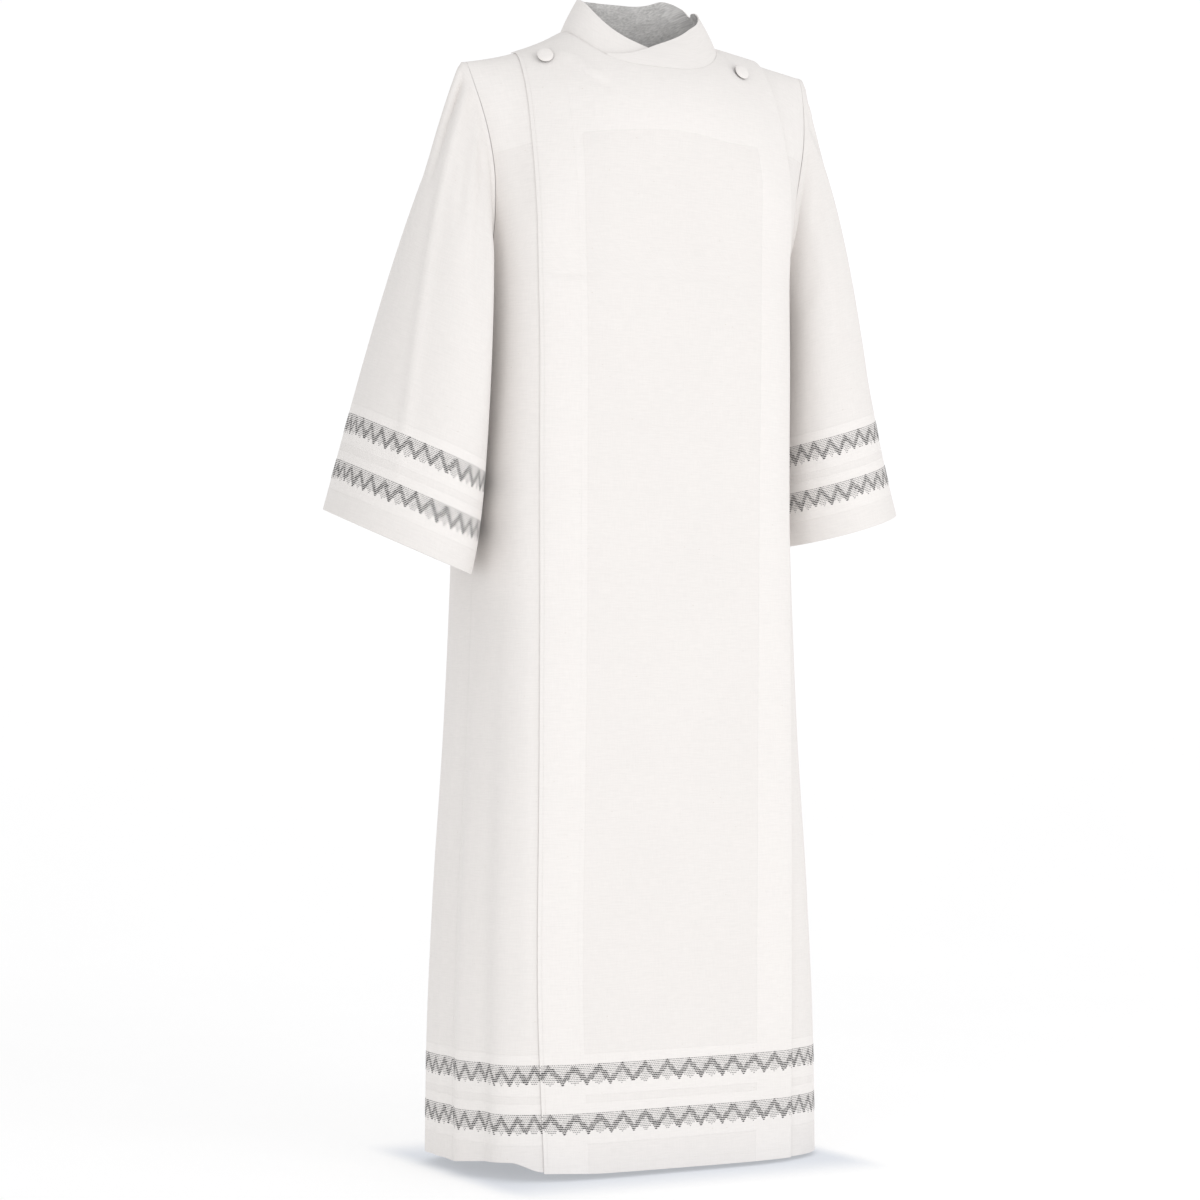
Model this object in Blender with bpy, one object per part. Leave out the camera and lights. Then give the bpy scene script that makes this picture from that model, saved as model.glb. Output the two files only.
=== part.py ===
"""Wrap-front alb, filled out as if worn, built from the pieces its maker cuts and sews.

Metres, +Z up. The front faces -Y, so the wearer's left is at +X. The origin is the middle of the neck
opening at the height of the shoulder seams, where the wearer's neck and shoulders hold the robe.
Every piece is one closed cloth wall round a surface that is worked out from the tables below.
"""
import math

import bpy
import numpy as np

# Cloth
CLOTH = 0.0016          # wall thickness of the doubled polyester and linen cloth
SEAM = 0.0003           # gap left where two pieces are sewn together
LAYER = 0.0025          # from the middle of one lying layer to the middle of the next

# Neck and shoulders
NECK_HALF = 0.108       # half width of the neckline at the shoulder seams
NECK_FRONT = 0.0755     # how far the neckline comes forward at the middle
NECK_BACK = 0.050       # how far it goes back
NECK_SQUARE = {-1: 2.8, 1: 2.1}         # squareness of its front, fuller on the wearer's right
SHOULDER_HALF = 0.240   # from the middle to the top of the armhole
SHOULDER_DROP = {-1: 0.047, 1: 0.020}   # fall of the shoulder line, the wearer's right side hanging lower
ROUND_NECK = 0.15       # height over which the body rounds out below the neck
ROUND_FRONT = 0.26      # the same over the chest beside the armhole
ROUND_BACK = 0.20       # and over the shoulder blades

# Armhole, seen from the side
UNDERARM_Z = -0.320
ARM_FRONT = 0.048
ARM_BACK = 0.072
ARM_LOW = 0.35          # how much fuller the armhole's curve is in its lower half

# Body sections: height, half width, middle of the section, depth in front and behind, squareness, and
# how much wider the wearer's left half is
SECTION_COLUMNS = ("z", "half", "middle", "front", "back", "power", "wider")
SECTIONS = (
    (0.030, 0.264, 0.000, 0.100, 0.100, 2.5, -0.004),
    (-0.045, 0.255, 0.002, 0.106, 0.104, 2.5, 0.000),
    (-0.130, 0.237, 0.012, 0.116, 0.114, 2.6, 0.011),
    (-0.200, 0.223, 0.020, 0.123, 0.124, 3.0, 0.008),
    (-0.320, 0.2125, 0.029, 0.130, 0.132, 3.6, 0.000),
    (-0.450, 0.2105, 0.033, 0.134, 0.135, 4.0, 0.000),
    (-0.600, 0.2125, 0.035, 0.136, 0.136, 4.0, 0.000),
    (-0.870, 0.2230, 0.034, 0.137, 0.138, 4.0, 0.000),
    (-1.115, 0.2385, 0.030, 0.137, 0.141, 4.0, 0.000),
    (-1.300, 0.2460, 0.027, 0.137, 0.143, 4.0, 0.000),
    (-1.450, 0.2480, 0.026, 0.137, 0.143, 4.0, 0.000),
)
HEM_Z = -1.440          # hem at the side seams and of the back

# How much higher each piece's hem is turned up than the back's, away from its side seam
HEM_LIFTS = {"back": 0.0, "front_inner": 0.010, "front_outer": -0.003}
LIFT_REACH = 0.25       # share of the half width from the side seam over which the lift grows

# Soft folds of the skirt: face, place across it (-1 to 1), half width of the fold, depth at the hem, top
FOLD_COLUMNS = ("face", "place", "reach", "depth", "start")
FOLDS = (
    ("front", -0.93, 0.050, 0.007, -0.62),
    ("front", -0.79, 0.050, -0.009, -0.60),
    ("front", 0.88, 0.050, -0.006, -0.70),
    ("front", 0.97, 0.040, 0.004, -0.80),
    ("back", -0.80, 0.075, 0.008, -0.55),
    ("back", -0.55, 0.085, -0.009, -0.45),
    ("back", -0.22, 0.090, 0.010, -0.50),
    ("back", 0.10, 0.085, -0.008, -0.42),
    ("back", 0.40, 0.095, 0.010, -0.55),
    ("back", 0.70, 0.080, -0.007, -0.60),
)

# Outer front: edges of the flat panel down its length, and the knife pleat along one of them
PANEL_COLUMNS = ("z", "free_edge", "pleat_edge")
PANEL_EDGES = (
    (0.000, -0.1740, 0.1745),
    (-0.080, -0.1815, 0.1835),
    (-0.200, -0.1790, 0.1890),
    (-0.400, -0.1765, 0.1865),
    (-0.650, -0.1775, 0.1830),
    (-0.900, -0.1810, 0.1800),
    (-1.220, -0.1880, 0.1740),
    (-1.450, -0.1815, 0.1700),
)
PLEAT_DEPTH = 0.028
INNER_STOP = 0.034      # the inner front ends this far short of the pleat's edge

# Sleeves: middle and half sizes of the cuff, and how its plane rises outwards and backwards
CUFF_COLUMNS = ("side", "x", "y", "z", "half_x", "half_y", "rise_out", "rise_back", "fullness")
CUFFS = (
    (-1, 0.324, 0.028, -0.652, 0.088, 0.112, 0.38, 0.22, 0.018),
    (1, 0.316, 0.030, -0.622, 0.082, 0.112, 0.31, 0.00, -0.020),
)
HEAD_STEP = 0.0070      # how far the sleeve stands off the body before it turns down
HEAD_PLEAT = 0.0025     # height of the small pleats at the sleeve's head
HEAD_PLEAT_LENGTH = 0.16
HEAD_PLEATS = 4         # lines on each side of the shoulder that the pleats push in or out
SLEEVE_LENGTH = 0.58
SLEEVE_BULGE = 0.055    # how far the sleeve's front and back swell out below the armhole
BULGE_POWER = 1.5
HANDLE_TOP = 0.30       # shares of the length over which each line keeps its first and last direction
HANDLE_CUFF = 0.33

# Collar: how high it stands and where its two tapered ends lie, from its middle line
COLLAR_BACK = 0.074
COLLAR_SIDE = 0.051
COLLAR_LEAN = 0.52      # how far it leans in for each metre it rises
COLLAR_LEAN_BACK = 0.30
COLLAR_LEAN_REACH = 0.4
COLLAR_TIP = 3          # column of the neckline, from the middle, where each tapered end stops
COLLAR_TAPER_OVER = 0.122
COLLAR_TAPER_UNDER = 0.158
COLLAR_END = 0.003      # height left at the tapered ends
COLLAR_FLAT = 1.3       # how much more it leans in at the front and back than at the sides

# Buttons
BUTTON_RADIUS = 0.0105
BUTTON_HEIGHT = 0.0055
BUTTON_TILT = 0.45      # how far a button turns from the cloth towards the front
BUTTON_SIDES = 20
BUTTON_PROFILE = ((0.80, 0.0), (0.97, 0.22), (1.0, 0.45), (0.92, 0.75), (0.62, 0.95))
BUTTON_PLACES = {"button_right": (-0.150, 2.43), "button_left": (0.121, 3.19)}

# Numbers of steps
ARM_STEPS = 14          # rows from the shoulder line to the underarm
SKIRT_STEPS = 12        # rows from the underarm to the hem
NECK_STEPS = 6          # columns from the middle to the neck's corner
SIDE_STEPS = 8          # columns from there to the side
OUTER_SIDE_STEPS = 4    # columns of the over front from the side to the pleat
SLEEVE_STEPS = 14
COLLAR_STEPS = 3
FOLD_STEPS = 3
ROWS = ARM_STEPS + SKIRT_STEPS
FINE_STEPS = 181        # points along a section that its length is measured over
LEVEL_STEP = 0.002      # height over which the slope below the neckline is measured
OUT_WEIGHT = 1.5        # how much more a fold points forwards than sideways

WHITE = (0.86, 0.85, 0.83, 1.0)
ROUGHNESS = 0.85


def clear_scene():
    """Takes away what a new file holds."""
    for item in list(bpy.data.objects):
        bpy.data.objects.remove(item, do_unlink=True)


def smooth_table(rows, columns, name):
    """Returns a smooth function through one named column of a table, read by its first column."""
    column = columns.index(name)
    points = sorted((row[0], row[column]) for row in rows)
    xs = np.array([p[0] for p in points])
    ys = np.array([p[1] for p in points])
    slopes = np.diff(ys) / np.diff(xs)
    tangents = np.zeros(len(xs))
    tangents[0] = slopes[0]
    tangents[-1] = slopes[-1]
    for i in range(1, len(xs) - 1):
        if slopes[i - 1] * slopes[i] > 0:
            tangents[i] = 2 * slopes[i - 1] * slopes[i] / (slopes[i - 1] + slopes[i])

    def value(x):
        x = min(max(x, xs[0]), xs[-1])
        i = min(int(np.searchsorted(xs, x, side="right")) - 1, len(xs) - 2)
        width = xs[i + 1] - xs[i]
        t = (x - xs[i]) / width
        first = (1 + 2 * t) * (1 - t) ** 2 * ys[i] + t * (1 - t) ** 2 * width * tangents[i]
        second = t * t * (3 - 2 * t) * ys[i + 1] + t * t * (t - 1) * width * tangents[i + 1]
        return first + second
    return value


HALF, MIDDLE, FRONT, BACK, POWER, WIDER = (
    smooth_table(SECTIONS, SECTION_COLUMNS, name) for name in SECTION_COLUMNS[1:])
FREE_EDGE = smooth_table(PANEL_EDGES, PANEL_COLUMNS, "free_edge")
PLEAT_EDGE = smooth_table(PANEL_EDGES, PANEL_COLUMNS, "pleat_edge")


def unit(vector):
    """Returns a vector at length one."""
    return vector / np.linalg.norm(vector)


def ease(t):
    """Goes smoothly from 0 to 1."""
    t = min(max(t, 0.0), 1.0)
    return t * t * (3 - 2 * t)


def hem_lift(name, place):
    """How much higher the hem of one piece is turned up at a place across it."""
    side = -1 if name == "front_inner" else 1
    return HEM_LIFTS[name] * ease((1 - side * place) / LIFT_REACH)


def half_width(z, side):
    """Half width of the body at one height, on the wearer's left for side 1."""
    return HALF(z) + (WIDER(z) if side > 0 else 0.0)


def ridge_z(x):
    """Height of the shoulder line, level over the neck opening and falling to the armholes."""
    reach = abs(x) - NECK_HALF
    if reach <= 0:
        return 0.0
    side = 1 if x > 0 else -1
    share = reach / (SHOULDER_HALF - NECK_HALF)
    return -SHOULDER_DROP[side] * share


def round_off(t):
    """Depth of the body below the shoulder line, as a share of its full depth."""
    t = min(max(t, 0.0), 1.0)
    return math.sqrt(1 - (1 - t) ** 2)


class Face:
    """The front or the back of the body, as a surface of rows and places across."""

    def __init__(self, name):
        self.name = name
        self.sign = -1 if name == "front" else 1
        self.depth = FRONT if name == "front" else BACK
        self.side_round = ROUND_FRONT if name == "front" else ROUND_BACK
        self.neck = NECK_FRONT if name == "front" else NECK_BACK
        self.arm = ARM_FRONT if name == "front" else ARM_BACK
        self.cache = {}

    def round(self, place):
        """Height over which the body rounds out, short below the neck and longer at the armholes."""
        reach = min(abs(place), 0.8) / 0.8
        return ROUND_NECK + (self.side_round - ROUND_NECK) * reach ** 2

    def section_y(self, x, z, share):
        """Depth of the section at one place, with the share that the rounding leaves."""
        part = min(abs(x) / half_width(z, 1 if x > 0 else -1), 1.0)
        power = POWER(z)
        across = (1 - part ** power) ** (1 / power)
        return share * (MIDDLE(z) + self.sign * self.depth(z) * across)

    def armhole(self, row, side):
        """Height and distance out of the armhole's edge on one row."""
        angle = math.pi * row / ARM_STEPS
        top = -SHOULDER_DROP[side]
        z = top - (top - UNDERARM_Z) * (1 - math.cos(angle)) / 2
        fullness = self.arm * (1 - ARM_LOW * math.cos(angle)) * math.sin(angle)
        y = self.sign * fullness + MIDDLE(UNDERARM_Z) * (1 - math.cos(angle)) / 2
        share = max(round_off((top - z) / self.side_round), 0.02)
        if row < 0.25:
            return z, SHOULDER_HALF
        power = POWER(z)
        across = self.sign * (y / share - MIDDLE(z)) / self.depth(z)
        across = min(max(across, 0.0), 0.999)
        return z, half_width(z, side) * (1 - across ** power) ** (1 / power)

    def edge(self, row, side):
        """Height and distance out of this face's outer edge, at the armhole or the side seam."""
        if row <= ARM_STEPS:
            z, x = self.armhole(row, side)
            if row < 1:
                x = SHOULDER_HALF + (self.armhole(1, side)[1] - SHOULDER_HALF) * row
            return z, x
        t = (row - ARM_STEPS) / SKIRT_STEPS
        z = UNDERARM_Z + (HEM_Z - UNDERARM_Z) * t
        return z, half_width(z, side)

    def places(self, row, side):
        """Distances out at equal steps along the section from the middle to the edge."""
        key = (round(row, 6), side)
        if key not in self.cache:
            z, out = self.edge(row, side)
            share = round_off((-SHOULDER_DROP[side] - z) / self.side_round)
            xs = out * (1 - (1 - np.linspace(0, 1, FINE_STEPS)) ** 4)
            ys = np.array([self.section_y(side * x, z, share) for x in xs])
            steps = np.hypot(np.diff(xs), np.diff(ys))
            length = np.concatenate(([0.0], np.cumsum(steps)))
            self.cache[key] = (length / length[-1], xs)
        return self.cache[key]

    def top_z(self, place):
        """Height of the upper edge: the neckline in the middle, the shoulder line beyond it."""
        x = place * SHOULDER_HALF
        if abs(x) >= NECK_HALF - 1e-9:
            return ridge_z(x)
        power = NECK_SQUARE[1 if place > 0 else -1] if self.name == "front" else 2
        across = (1 - (abs(x) / NECK_HALF) ** power) ** (1 / power)
        full = self.section_y(x, -0.03, 1.0) * self.sign
        share = min(self.neck * across / full, 1.0)
        return ridge_z(x) - self.round(place) * (1 - math.sqrt(1 - share ** 2))

    def point(self, row, place, lift=0.0):
        """Point of the surface, place running from -1 to 1, and lift raising the hem there."""
        side = 1 if place > 0 else -1
        shares, xs = self.places(row, side)
        x = side * float(np.interp(abs(place), shares, xs))
        top = self.top_z(place)
        if row <= ARM_STEPS:
            z = top - (top - UNDERARM_Z) * (1 - math.cos(math.pi * row / ARM_STEPS)) / 2
        else:
            level, out = self.edge(row, side)
            z = level + lift * (row - ARM_STEPS) / SKIRT_STEPS
            x *= half_width(z, side) / out
        share = round_off((ridge_z(place * SHOULDER_HALF) - z) / self.round(place))
        y = self.section_y(x, z, share)
        out = unit(np.array([x, (y - MIDDLE(z)) * OUT_WEIGHT, 0.0]))
        return np.array([x, y, z]) + out * self.fold(place, z)

    def fold(self, place, z):
        """How far the soft folds push the skirt out or in."""
        total = 0.0
        for row in FOLDS:
            fold = dict(zip(FOLD_COLUMNS, row))
            if fold["face"] == self.name:
                grow = ease((fold["start"] - z) / (fold["start"] - HEM_Z))
                total += fold["depth"] * grow * math.exp(-((place - fold["place"]) / fold["reach"]) ** 2)
        edge = min((1 - abs(place)) / 0.05, 1.0)
        return total * ease(edge)

    def place_of(self, row, x):
        """Place across that lies a given distance from the middle."""
        side = 1 if x > 0 else -1
        shares, xs = self.places(row, side)
        return side * float(np.interp(abs(x), xs, shares))

    def level_slopes(self, place, z):
        """Directions across and down below the neckline, the first one at a constant height."""
        step = 0.01

        def depth(at, height):
            share = round_off((ridge_z(at * SHOULDER_HALF) - height) / self.round(at))
            return self.section_y(at * SHOULDER_HALF, height, share)
        rise = depth(place + step, z - LEVEL_STEP) - depth(place - step, z - LEVEL_STEP)
        fall = depth(place, z - LEVEL_STEP) - depth(place, z)
        return np.array([2 * step * SHOULDER_HALF, rise, 0.0]), np.array([0.0, fall, -LEVEL_STEP])

    def frame(self, row, place, lift=0.0):
        """Point, outward normal and the direction across, towards +X."""
        step = 0.02
        here = self.point(row, place, lift)
        if abs(place) * SHOULDER_HALF < NECK_HALF + 1e-9 and row <= ARM_STEPS / 2:
            across, down = self.level_slopes(place, here[2])
        else:
            low = max(place - step, -1.0)
            high = min(place + step, 1.0)
            across = self.point(row, high) - self.point(row, low)
            down = self.point(min(row + 0.2, ROWS), place) - self.point(max(row - 0.2, 0), place)
        normal = np.cross(across, down) * self.sign
        at_shoulder = row == 0 and abs(place) * SHOULDER_HALF >= NECK_HALF - 1e-9
        at_side = abs(place) == 1.0 and row >= ARM_STEPS
        if at_shoulder or at_side:
            normal[1] = 0.0
        normal = unit(normal)
        across = unit(across - normal * np.dot(across, normal))
        return here, normal, across


FRONT_FACE = Face("front")
BACK_FACE = Face("back")


def material(name):
    """A plain cloth finish, one for each piece."""
    finish = bpy.data.materials.new(name)
    finish.use_nodes = True
    shader = finish.node_tree.nodes["Principled BSDF"]
    shader.inputs["Base Color"].default_value = WHITE
    shader.inputs["Roughness"].default_value = ROUGHNESS
    return finish


def add_object(name, vertices, faces):
    """Makes one named object from vertices and faces."""
    mesh = bpy.data.meshes.new(name)
    mesh.from_pydata([tuple(float(c) for c in v) for v in vertices], [], faces)
    mesh.materials.append(material(name + "_cloth"))
    mesh.shade_smooth()
    mesh.set_sharp_from_angle(angle=math.radians(50))
    piece = bpy.data.objects.new(name, mesh)
    bpy.context.scene.collection.objects.link(piece)
    return piece


def volume(vertices, triangles):
    """Volume inside closed triangles, below zero where they face inwards."""
    corners = np.array(vertices)[np.array(triangles)]
    return float(np.einsum("ij,ij->i", corners[:, 0], np.cross(corners[:, 1], corners[:, 2])).sum()) / 6


def add_wall(name, middle, normals, closed=False):
    """Makes a cloth wall round a grid of points, half its thickness on each side."""
    middle = np.array(middle)
    normals = np.array(normals)
    rows, columns = middle.shape[:2]
    outer = (middle + normals * CLOTH / 2).reshape(-1, 3)
    inner = (middle - normals * CLOTH / 2).reshape(-1, 3)
    vertices = np.concatenate([outer, inner])
    shift = rows * columns
    faces = []

    lines = middle.reshape(-1, 3)

    def quad(a, b, c, d):
        one = lines[a % shift] - lines[c % shift]
        other = lines[b % shift] - lines[d % shift]
        if np.linalg.norm(one) <= np.linalg.norm(other):
            faces.extend(((a, b, c), (a, c, d)))
        else:
            faces.extend(((a, b, d), (b, c, d)))

    spans = columns if closed else columns - 1
    for i in range(rows - 1):
        for j in range(spans):
            k = (j + 1) % columns
            a, b = i * columns + j, i * columns + k
            c, d = (i + 1) * columns + k, (i + 1) * columns + j
            quad(a, d, c, b)
            quad(a + shift, b + shift, c + shift, d + shift)
    for j in range(spans):
        k = (j + 1) % columns
        last = (rows - 1) * columns
        quad(j, k, k + shift, j + shift)
        quad(last + k, last + j, last + j + shift, last + k + shift)
    if not closed:
        for i in range(rows - 1):
            a, b = i * columns, (i + 1) * columns
            quad(b, a, a + shift, b + shift)
            quad(a + columns - 1, b + columns - 1, b + columns - 1 + shift, a + columns - 1 + shift)
    if volume(vertices, faces) < 0:
        faces = [corners[::-1] for corners in faces]
    return add_object(name, vertices, faces)


def grid_normals(grid, closed=False):
    """Normals of a grid from its neighbours, pointing as rows cross columns."""
    grid = np.array(grid)
    rows, columns = grid.shape[:2]
    normals = np.zeros_like(grid)
    for i in range(rows):
        for j in range(columns):
            up, down = grid[max(i - 1, 0), j], grid[min(i + 1, rows - 1), j]
            if closed:
                left, right = grid[i, (j - 1) % columns], grid[i, (j + 1) % columns]
            else:
                left, right = grid[i, max(j - 1, 0)], grid[i, min(j + 1, columns - 1)]
            normals[i, j] = unit(np.cross(right - left, down - up))
    return normals


def seam_shift(face, row, place):
    """Half the seam's gap, at the shoulder line and the side seams."""
    at_shoulder = row == 0 and abs(place) * SHOULDER_HALF >= NECK_HALF - 1e-9
    at_side = abs(place) == 1.0 and row >= ARM_STEPS
    if at_shoulder or at_side:
        return np.array([0.0, face.sign * SEAM / 2, 0.0])
    return np.zeros(3)


def across_places():
    """Places of the columns from the middle to one side, one of them at the neck's corner."""
    corner = NECK_HALF / SHOULDER_HALF
    neck = [corner * math.sin(math.pi / 2 * i / NECK_STEPS) for i in range(NECK_STEPS + 1)]
    side = [corner + (1 - corner) * (i + 1) / SIDE_STEPS for i in range(SIDE_STEPS)]
    return neck + side


def make_back():
    """The back, in one piece from side to side."""
    half = across_places()
    places = [-p for p in reversed(half[1:])] + half
    middle, normals = [], []
    for row in range(ROWS + 1):
        frames = [BACK_FACE.frame(row, p, hem_lift("back", p)) for p in places]
        middle.append([f[0] + seam_shift(BACK_FACE, row, p) for f, p in zip(frames, places)])
        normals.append([f[1] for f in frames])
    return add_wall("back", middle, normals)


def inner_stop(row):
    """Place where the under front ends, short of the pleat."""
    z = FRONT_FACE.edge(row, 1)[0]
    return FRONT_FACE.place_of(row, PLEAT_EDGE(z) - INNER_STOP)


def make_front_inner():
    """The under front, from the wearer's right side seam across to the other shoulder."""
    half = across_places()
    middle, normals = [], []
    for row in range(ROWS + 1):
        stop = inner_stop(row)
        right = [p * stop / inner_stop(0) for p in half[:NECK_STEPS + 1]]
        right += [(right[-1] + stop) / 2, stop]
        places = [-p for p in reversed(half[1:])] + right
        frames = [FRONT_FACE.frame(row, p, hem_lift("front_inner", p)) for p in places]
        middle.append([f[0] + seam_shift(FRONT_FACE, row, p) for f, p in zip(frames, places)])
        normals.append([f[1] for f in frames])
    return add_wall("front_inner", middle, normals)


def outer_path(row):
    """Stations of the outer front on one row: place, height off the body and the wall's turn."""
    z = FRONT_FACE.edge(row, 1)[0]
    fold_x = PLEAT_EDGE(z)
    tuck_x = fold_x - PLEAT_DEPTH
    fold = FRONT_FACE.place_of(row, fold_x)
    middle = FRONT_FACE.place_of(row, (tuck_x + fold_x) / 2)
    tuck = FRONT_FACE.place_of(row, tuck_x)
    stations = [(1.0 + (fold - 1.0) * i / OUTER_SIDE_STEPS, 0.0, 0.0) for i in range(OUTER_SIDE_STEPS + 1)]
    stations += [(middle, 0.0, 0.0), (tuck, 0.0, 0.0)]
    radius = LAYER / 2
    for i in range(1, FOLD_STEPS + 1):
        turn = math.pi * i / FOLD_STEPS
        x = tuck_x - radius * math.sin(turn)
        stations.append((FRONT_FACE.place_of(row, x), radius * (1 - math.cos(turn)), turn))
    stations += [(middle, LAYER, math.pi), (fold, LAYER, math.pi)]
    for i in range(1, FOLD_STEPS + 1):
        turn = math.pi * i / FOLD_STEPS
        x = fold_x + radius * math.sin(turn)
        height = LAYER + radius * (1 - math.cos(turn))
        stations.append((FRONT_FACE.place_of(row, x), height, math.pi - turn))
    stations += [(middle, 2 * LAYER, 0.0), (tuck, 2 * LAYER, 0.0)]
    return stations, tuck


def free_place(row):
    """Place of the flat panel's free edge."""
    return FRONT_FACE.place_of(row, FREE_EDGE(FRONT_FACE.edge(row, -1)[0]))


def make_front_outer():
    """The over front: side part, knife pleat, and the flat panel to its free edge."""
    corner = NECK_HALF / SHOULDER_HALF
    neck = [corner * math.sin(math.pi / 2 * i / NECK_STEPS) for i in range(NECK_STEPS + 1)]
    middle, normals = [], []
    for row in range(ROWS + 1):
        stations, tuck = outer_path(row)
        free = free_place(row)
        right = [p * tuck / outer_path(0)[1] for p in neck]
        left = [p * free / free_place(0) for p in neck]
        panel = [(tuck + right[-1]) / 2] + right[::-1] + [-p for p in left[1:]]
        panel += [-left[-1] + (free + left[-1]) * t for t in (1 / 3, 2 / 3, 1.0)]
        stations += [(place, 2 * LAYER, 0.0) for place in panel]
        line, facing = [], []
        for place, height, turn in stations:
            here, normal, across = FRONT_FACE.frame(row, place, hem_lift("front_outer", place))
            line.append(here + normal * height + seam_shift(FRONT_FACE, row, place))
            facing.append(unit(normal * math.cos(turn) + across * math.sin(turn)))
        middle.append(line)
        normals.append(facing)
    return add_wall("front_outer", middle, normals)


def armhole_ring(side):
    """Points, normals and inward directions round one armhole, from the shoulder by the front."""
    ring = []
    rows = [(FRONT_FACE, i) for i in range(ARM_STEPS + 1)]
    rows += [(BACK_FACE, i) for i in range(ARM_STEPS - 1, 0, -1)]
    for face, row in rows:
        here, normal, across = face.frame(row, float(side))
        low = row / ARM_STEPS
        ring.append((here, normal, side * across * (1 - low) + np.array([0.0, 0.0, low])))
    points = np.array([r[0] for r in ring])
    normals = np.array([r[1] for r in ring])
    along = np.roll(points, -1, axis=0) - np.roll(points, 1, axis=0)
    inward = np.array([unit(np.cross(n, a)) for n, a in zip(normals, along)])
    for i, direction in enumerate(inward):
        if np.dot(direction, ring[i][2]) < 0:
            inward[i] = -direction
    return points, normals, inward


def make_sleeve(name, side):
    """A wide sleeve: lines run from the armhole over its head and down to the cuff."""
    cuff = dict(zip(CUFF_COLUMNS, next(c for c in CUFFS if c[0] == side)))
    points, body_normals, inward = armhole_ring(side)
    count = len(points)
    centre = np.array([side * cuff["x"], cuff["y"], cuff["z"]])
    axis = unit(np.array([side * cuff["rise_out"], -cuff["rise_back"], -1.0]))
    rings = [[], []]
    first_normals = []
    lines = []
    for j in range(count):
        turn = 2 * math.pi * j / count
        over = (1 + math.cos(turn)) / 2
        out = np.array([side * math.cos(turn), -math.sin(turn), 0.0])
        stand = math.pi / 2 * (1 - over ** 2)
        leave = inward[j] * math.cos(stand) + body_normals[j] * math.sin(stand)
        first_normals.append(body_normals[j] * math.cos(stand) - inward[j] * math.sin(stand))
        seat = points[j] + inward[j] * (SEAM + CLOTH / 2 * math.sin(stand))
        seat = seat + body_normals[j] * (SEAM + CLOTH / 2) * math.sin(stand)
        rings[0].append(seat)
        start = seat + leave * HEAD_STEP
        rings[1].append(start)
        x = side * cuff["half_x"] * math.cos(turn)
        y = -cuff["half_y"] * math.sin(turn)
        rise = cuff["rise_out"] * side * x + cuff["rise_back"] * y
        end = centre + np.array([x, y, rise])
        reach = np.linalg.norm(end - start)
        bulge = SLEEVE_BULGE * abs(math.sin(turn)) ** BULGE_POWER + cuff["fullness"] * over
        first = start + axis * reach * HANDLE_TOP + out * bulge
        second = end - axis * reach * HANDLE_CUFF
        lines.append((start, first, second, end))
    for i in range(1, SLEEVE_STEPS + 1):
        t = i / SLEEVE_STEPS
        ring = []
        for start, first, second, end in lines:
            blend = ((1 - t) ** 3, 3 * t * (1 - t) ** 2, 3 * t * t * (1 - t), t ** 3)
            here = blend[0] * start + blend[1] * first + blend[2] * second + blend[3] * end
            ring.append(here)
        rings.append(ring)
    grid = np.array([np.array(r) for r in rings])
    normals = grid_normals(grid, closed=True) * side
    for i in range(2, len(grid)):
        fade = max(1 - (i - 1) / SLEEVE_STEPS / (HEAD_PLEAT_LENGTH / SLEEVE_LENGTH), 0.0)
        for j in range(count):
            near = min(j, count - j)
            if 1 <= near <= HEAD_PLEATS:
                push = HEAD_PLEAT * fade * (1 if near % 2 else -1)
                grid[i, j] += normals[i, j] * push
    normals = grid_normals(grid, closed=True) * side
    normals[0] = first_normals
    return add_wall(name, grid, normals, closed=True)


def collar_stations():
    """Places round the neck from the under end by the wearer's right and back to the over end."""
    corner = NECK_HALF / SHOULDER_HALF
    neck = [corner * math.sin(math.pi / 2 * i / NECK_STEPS) for i in range(NECK_STEPS + 1)]
    both = [-p for p in reversed(neck[1:])] + neck
    short = NECK_STEPS - COLLAR_TIP
    stations = [("front", p, 0.0) for p in reversed(both[:-short])]
    stations += [("back", p, 0.0) for p in both[1:-1]]
    stations += [("front", p, 2 * LAYER) for p in reversed(both[short:])]
    return stations


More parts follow.
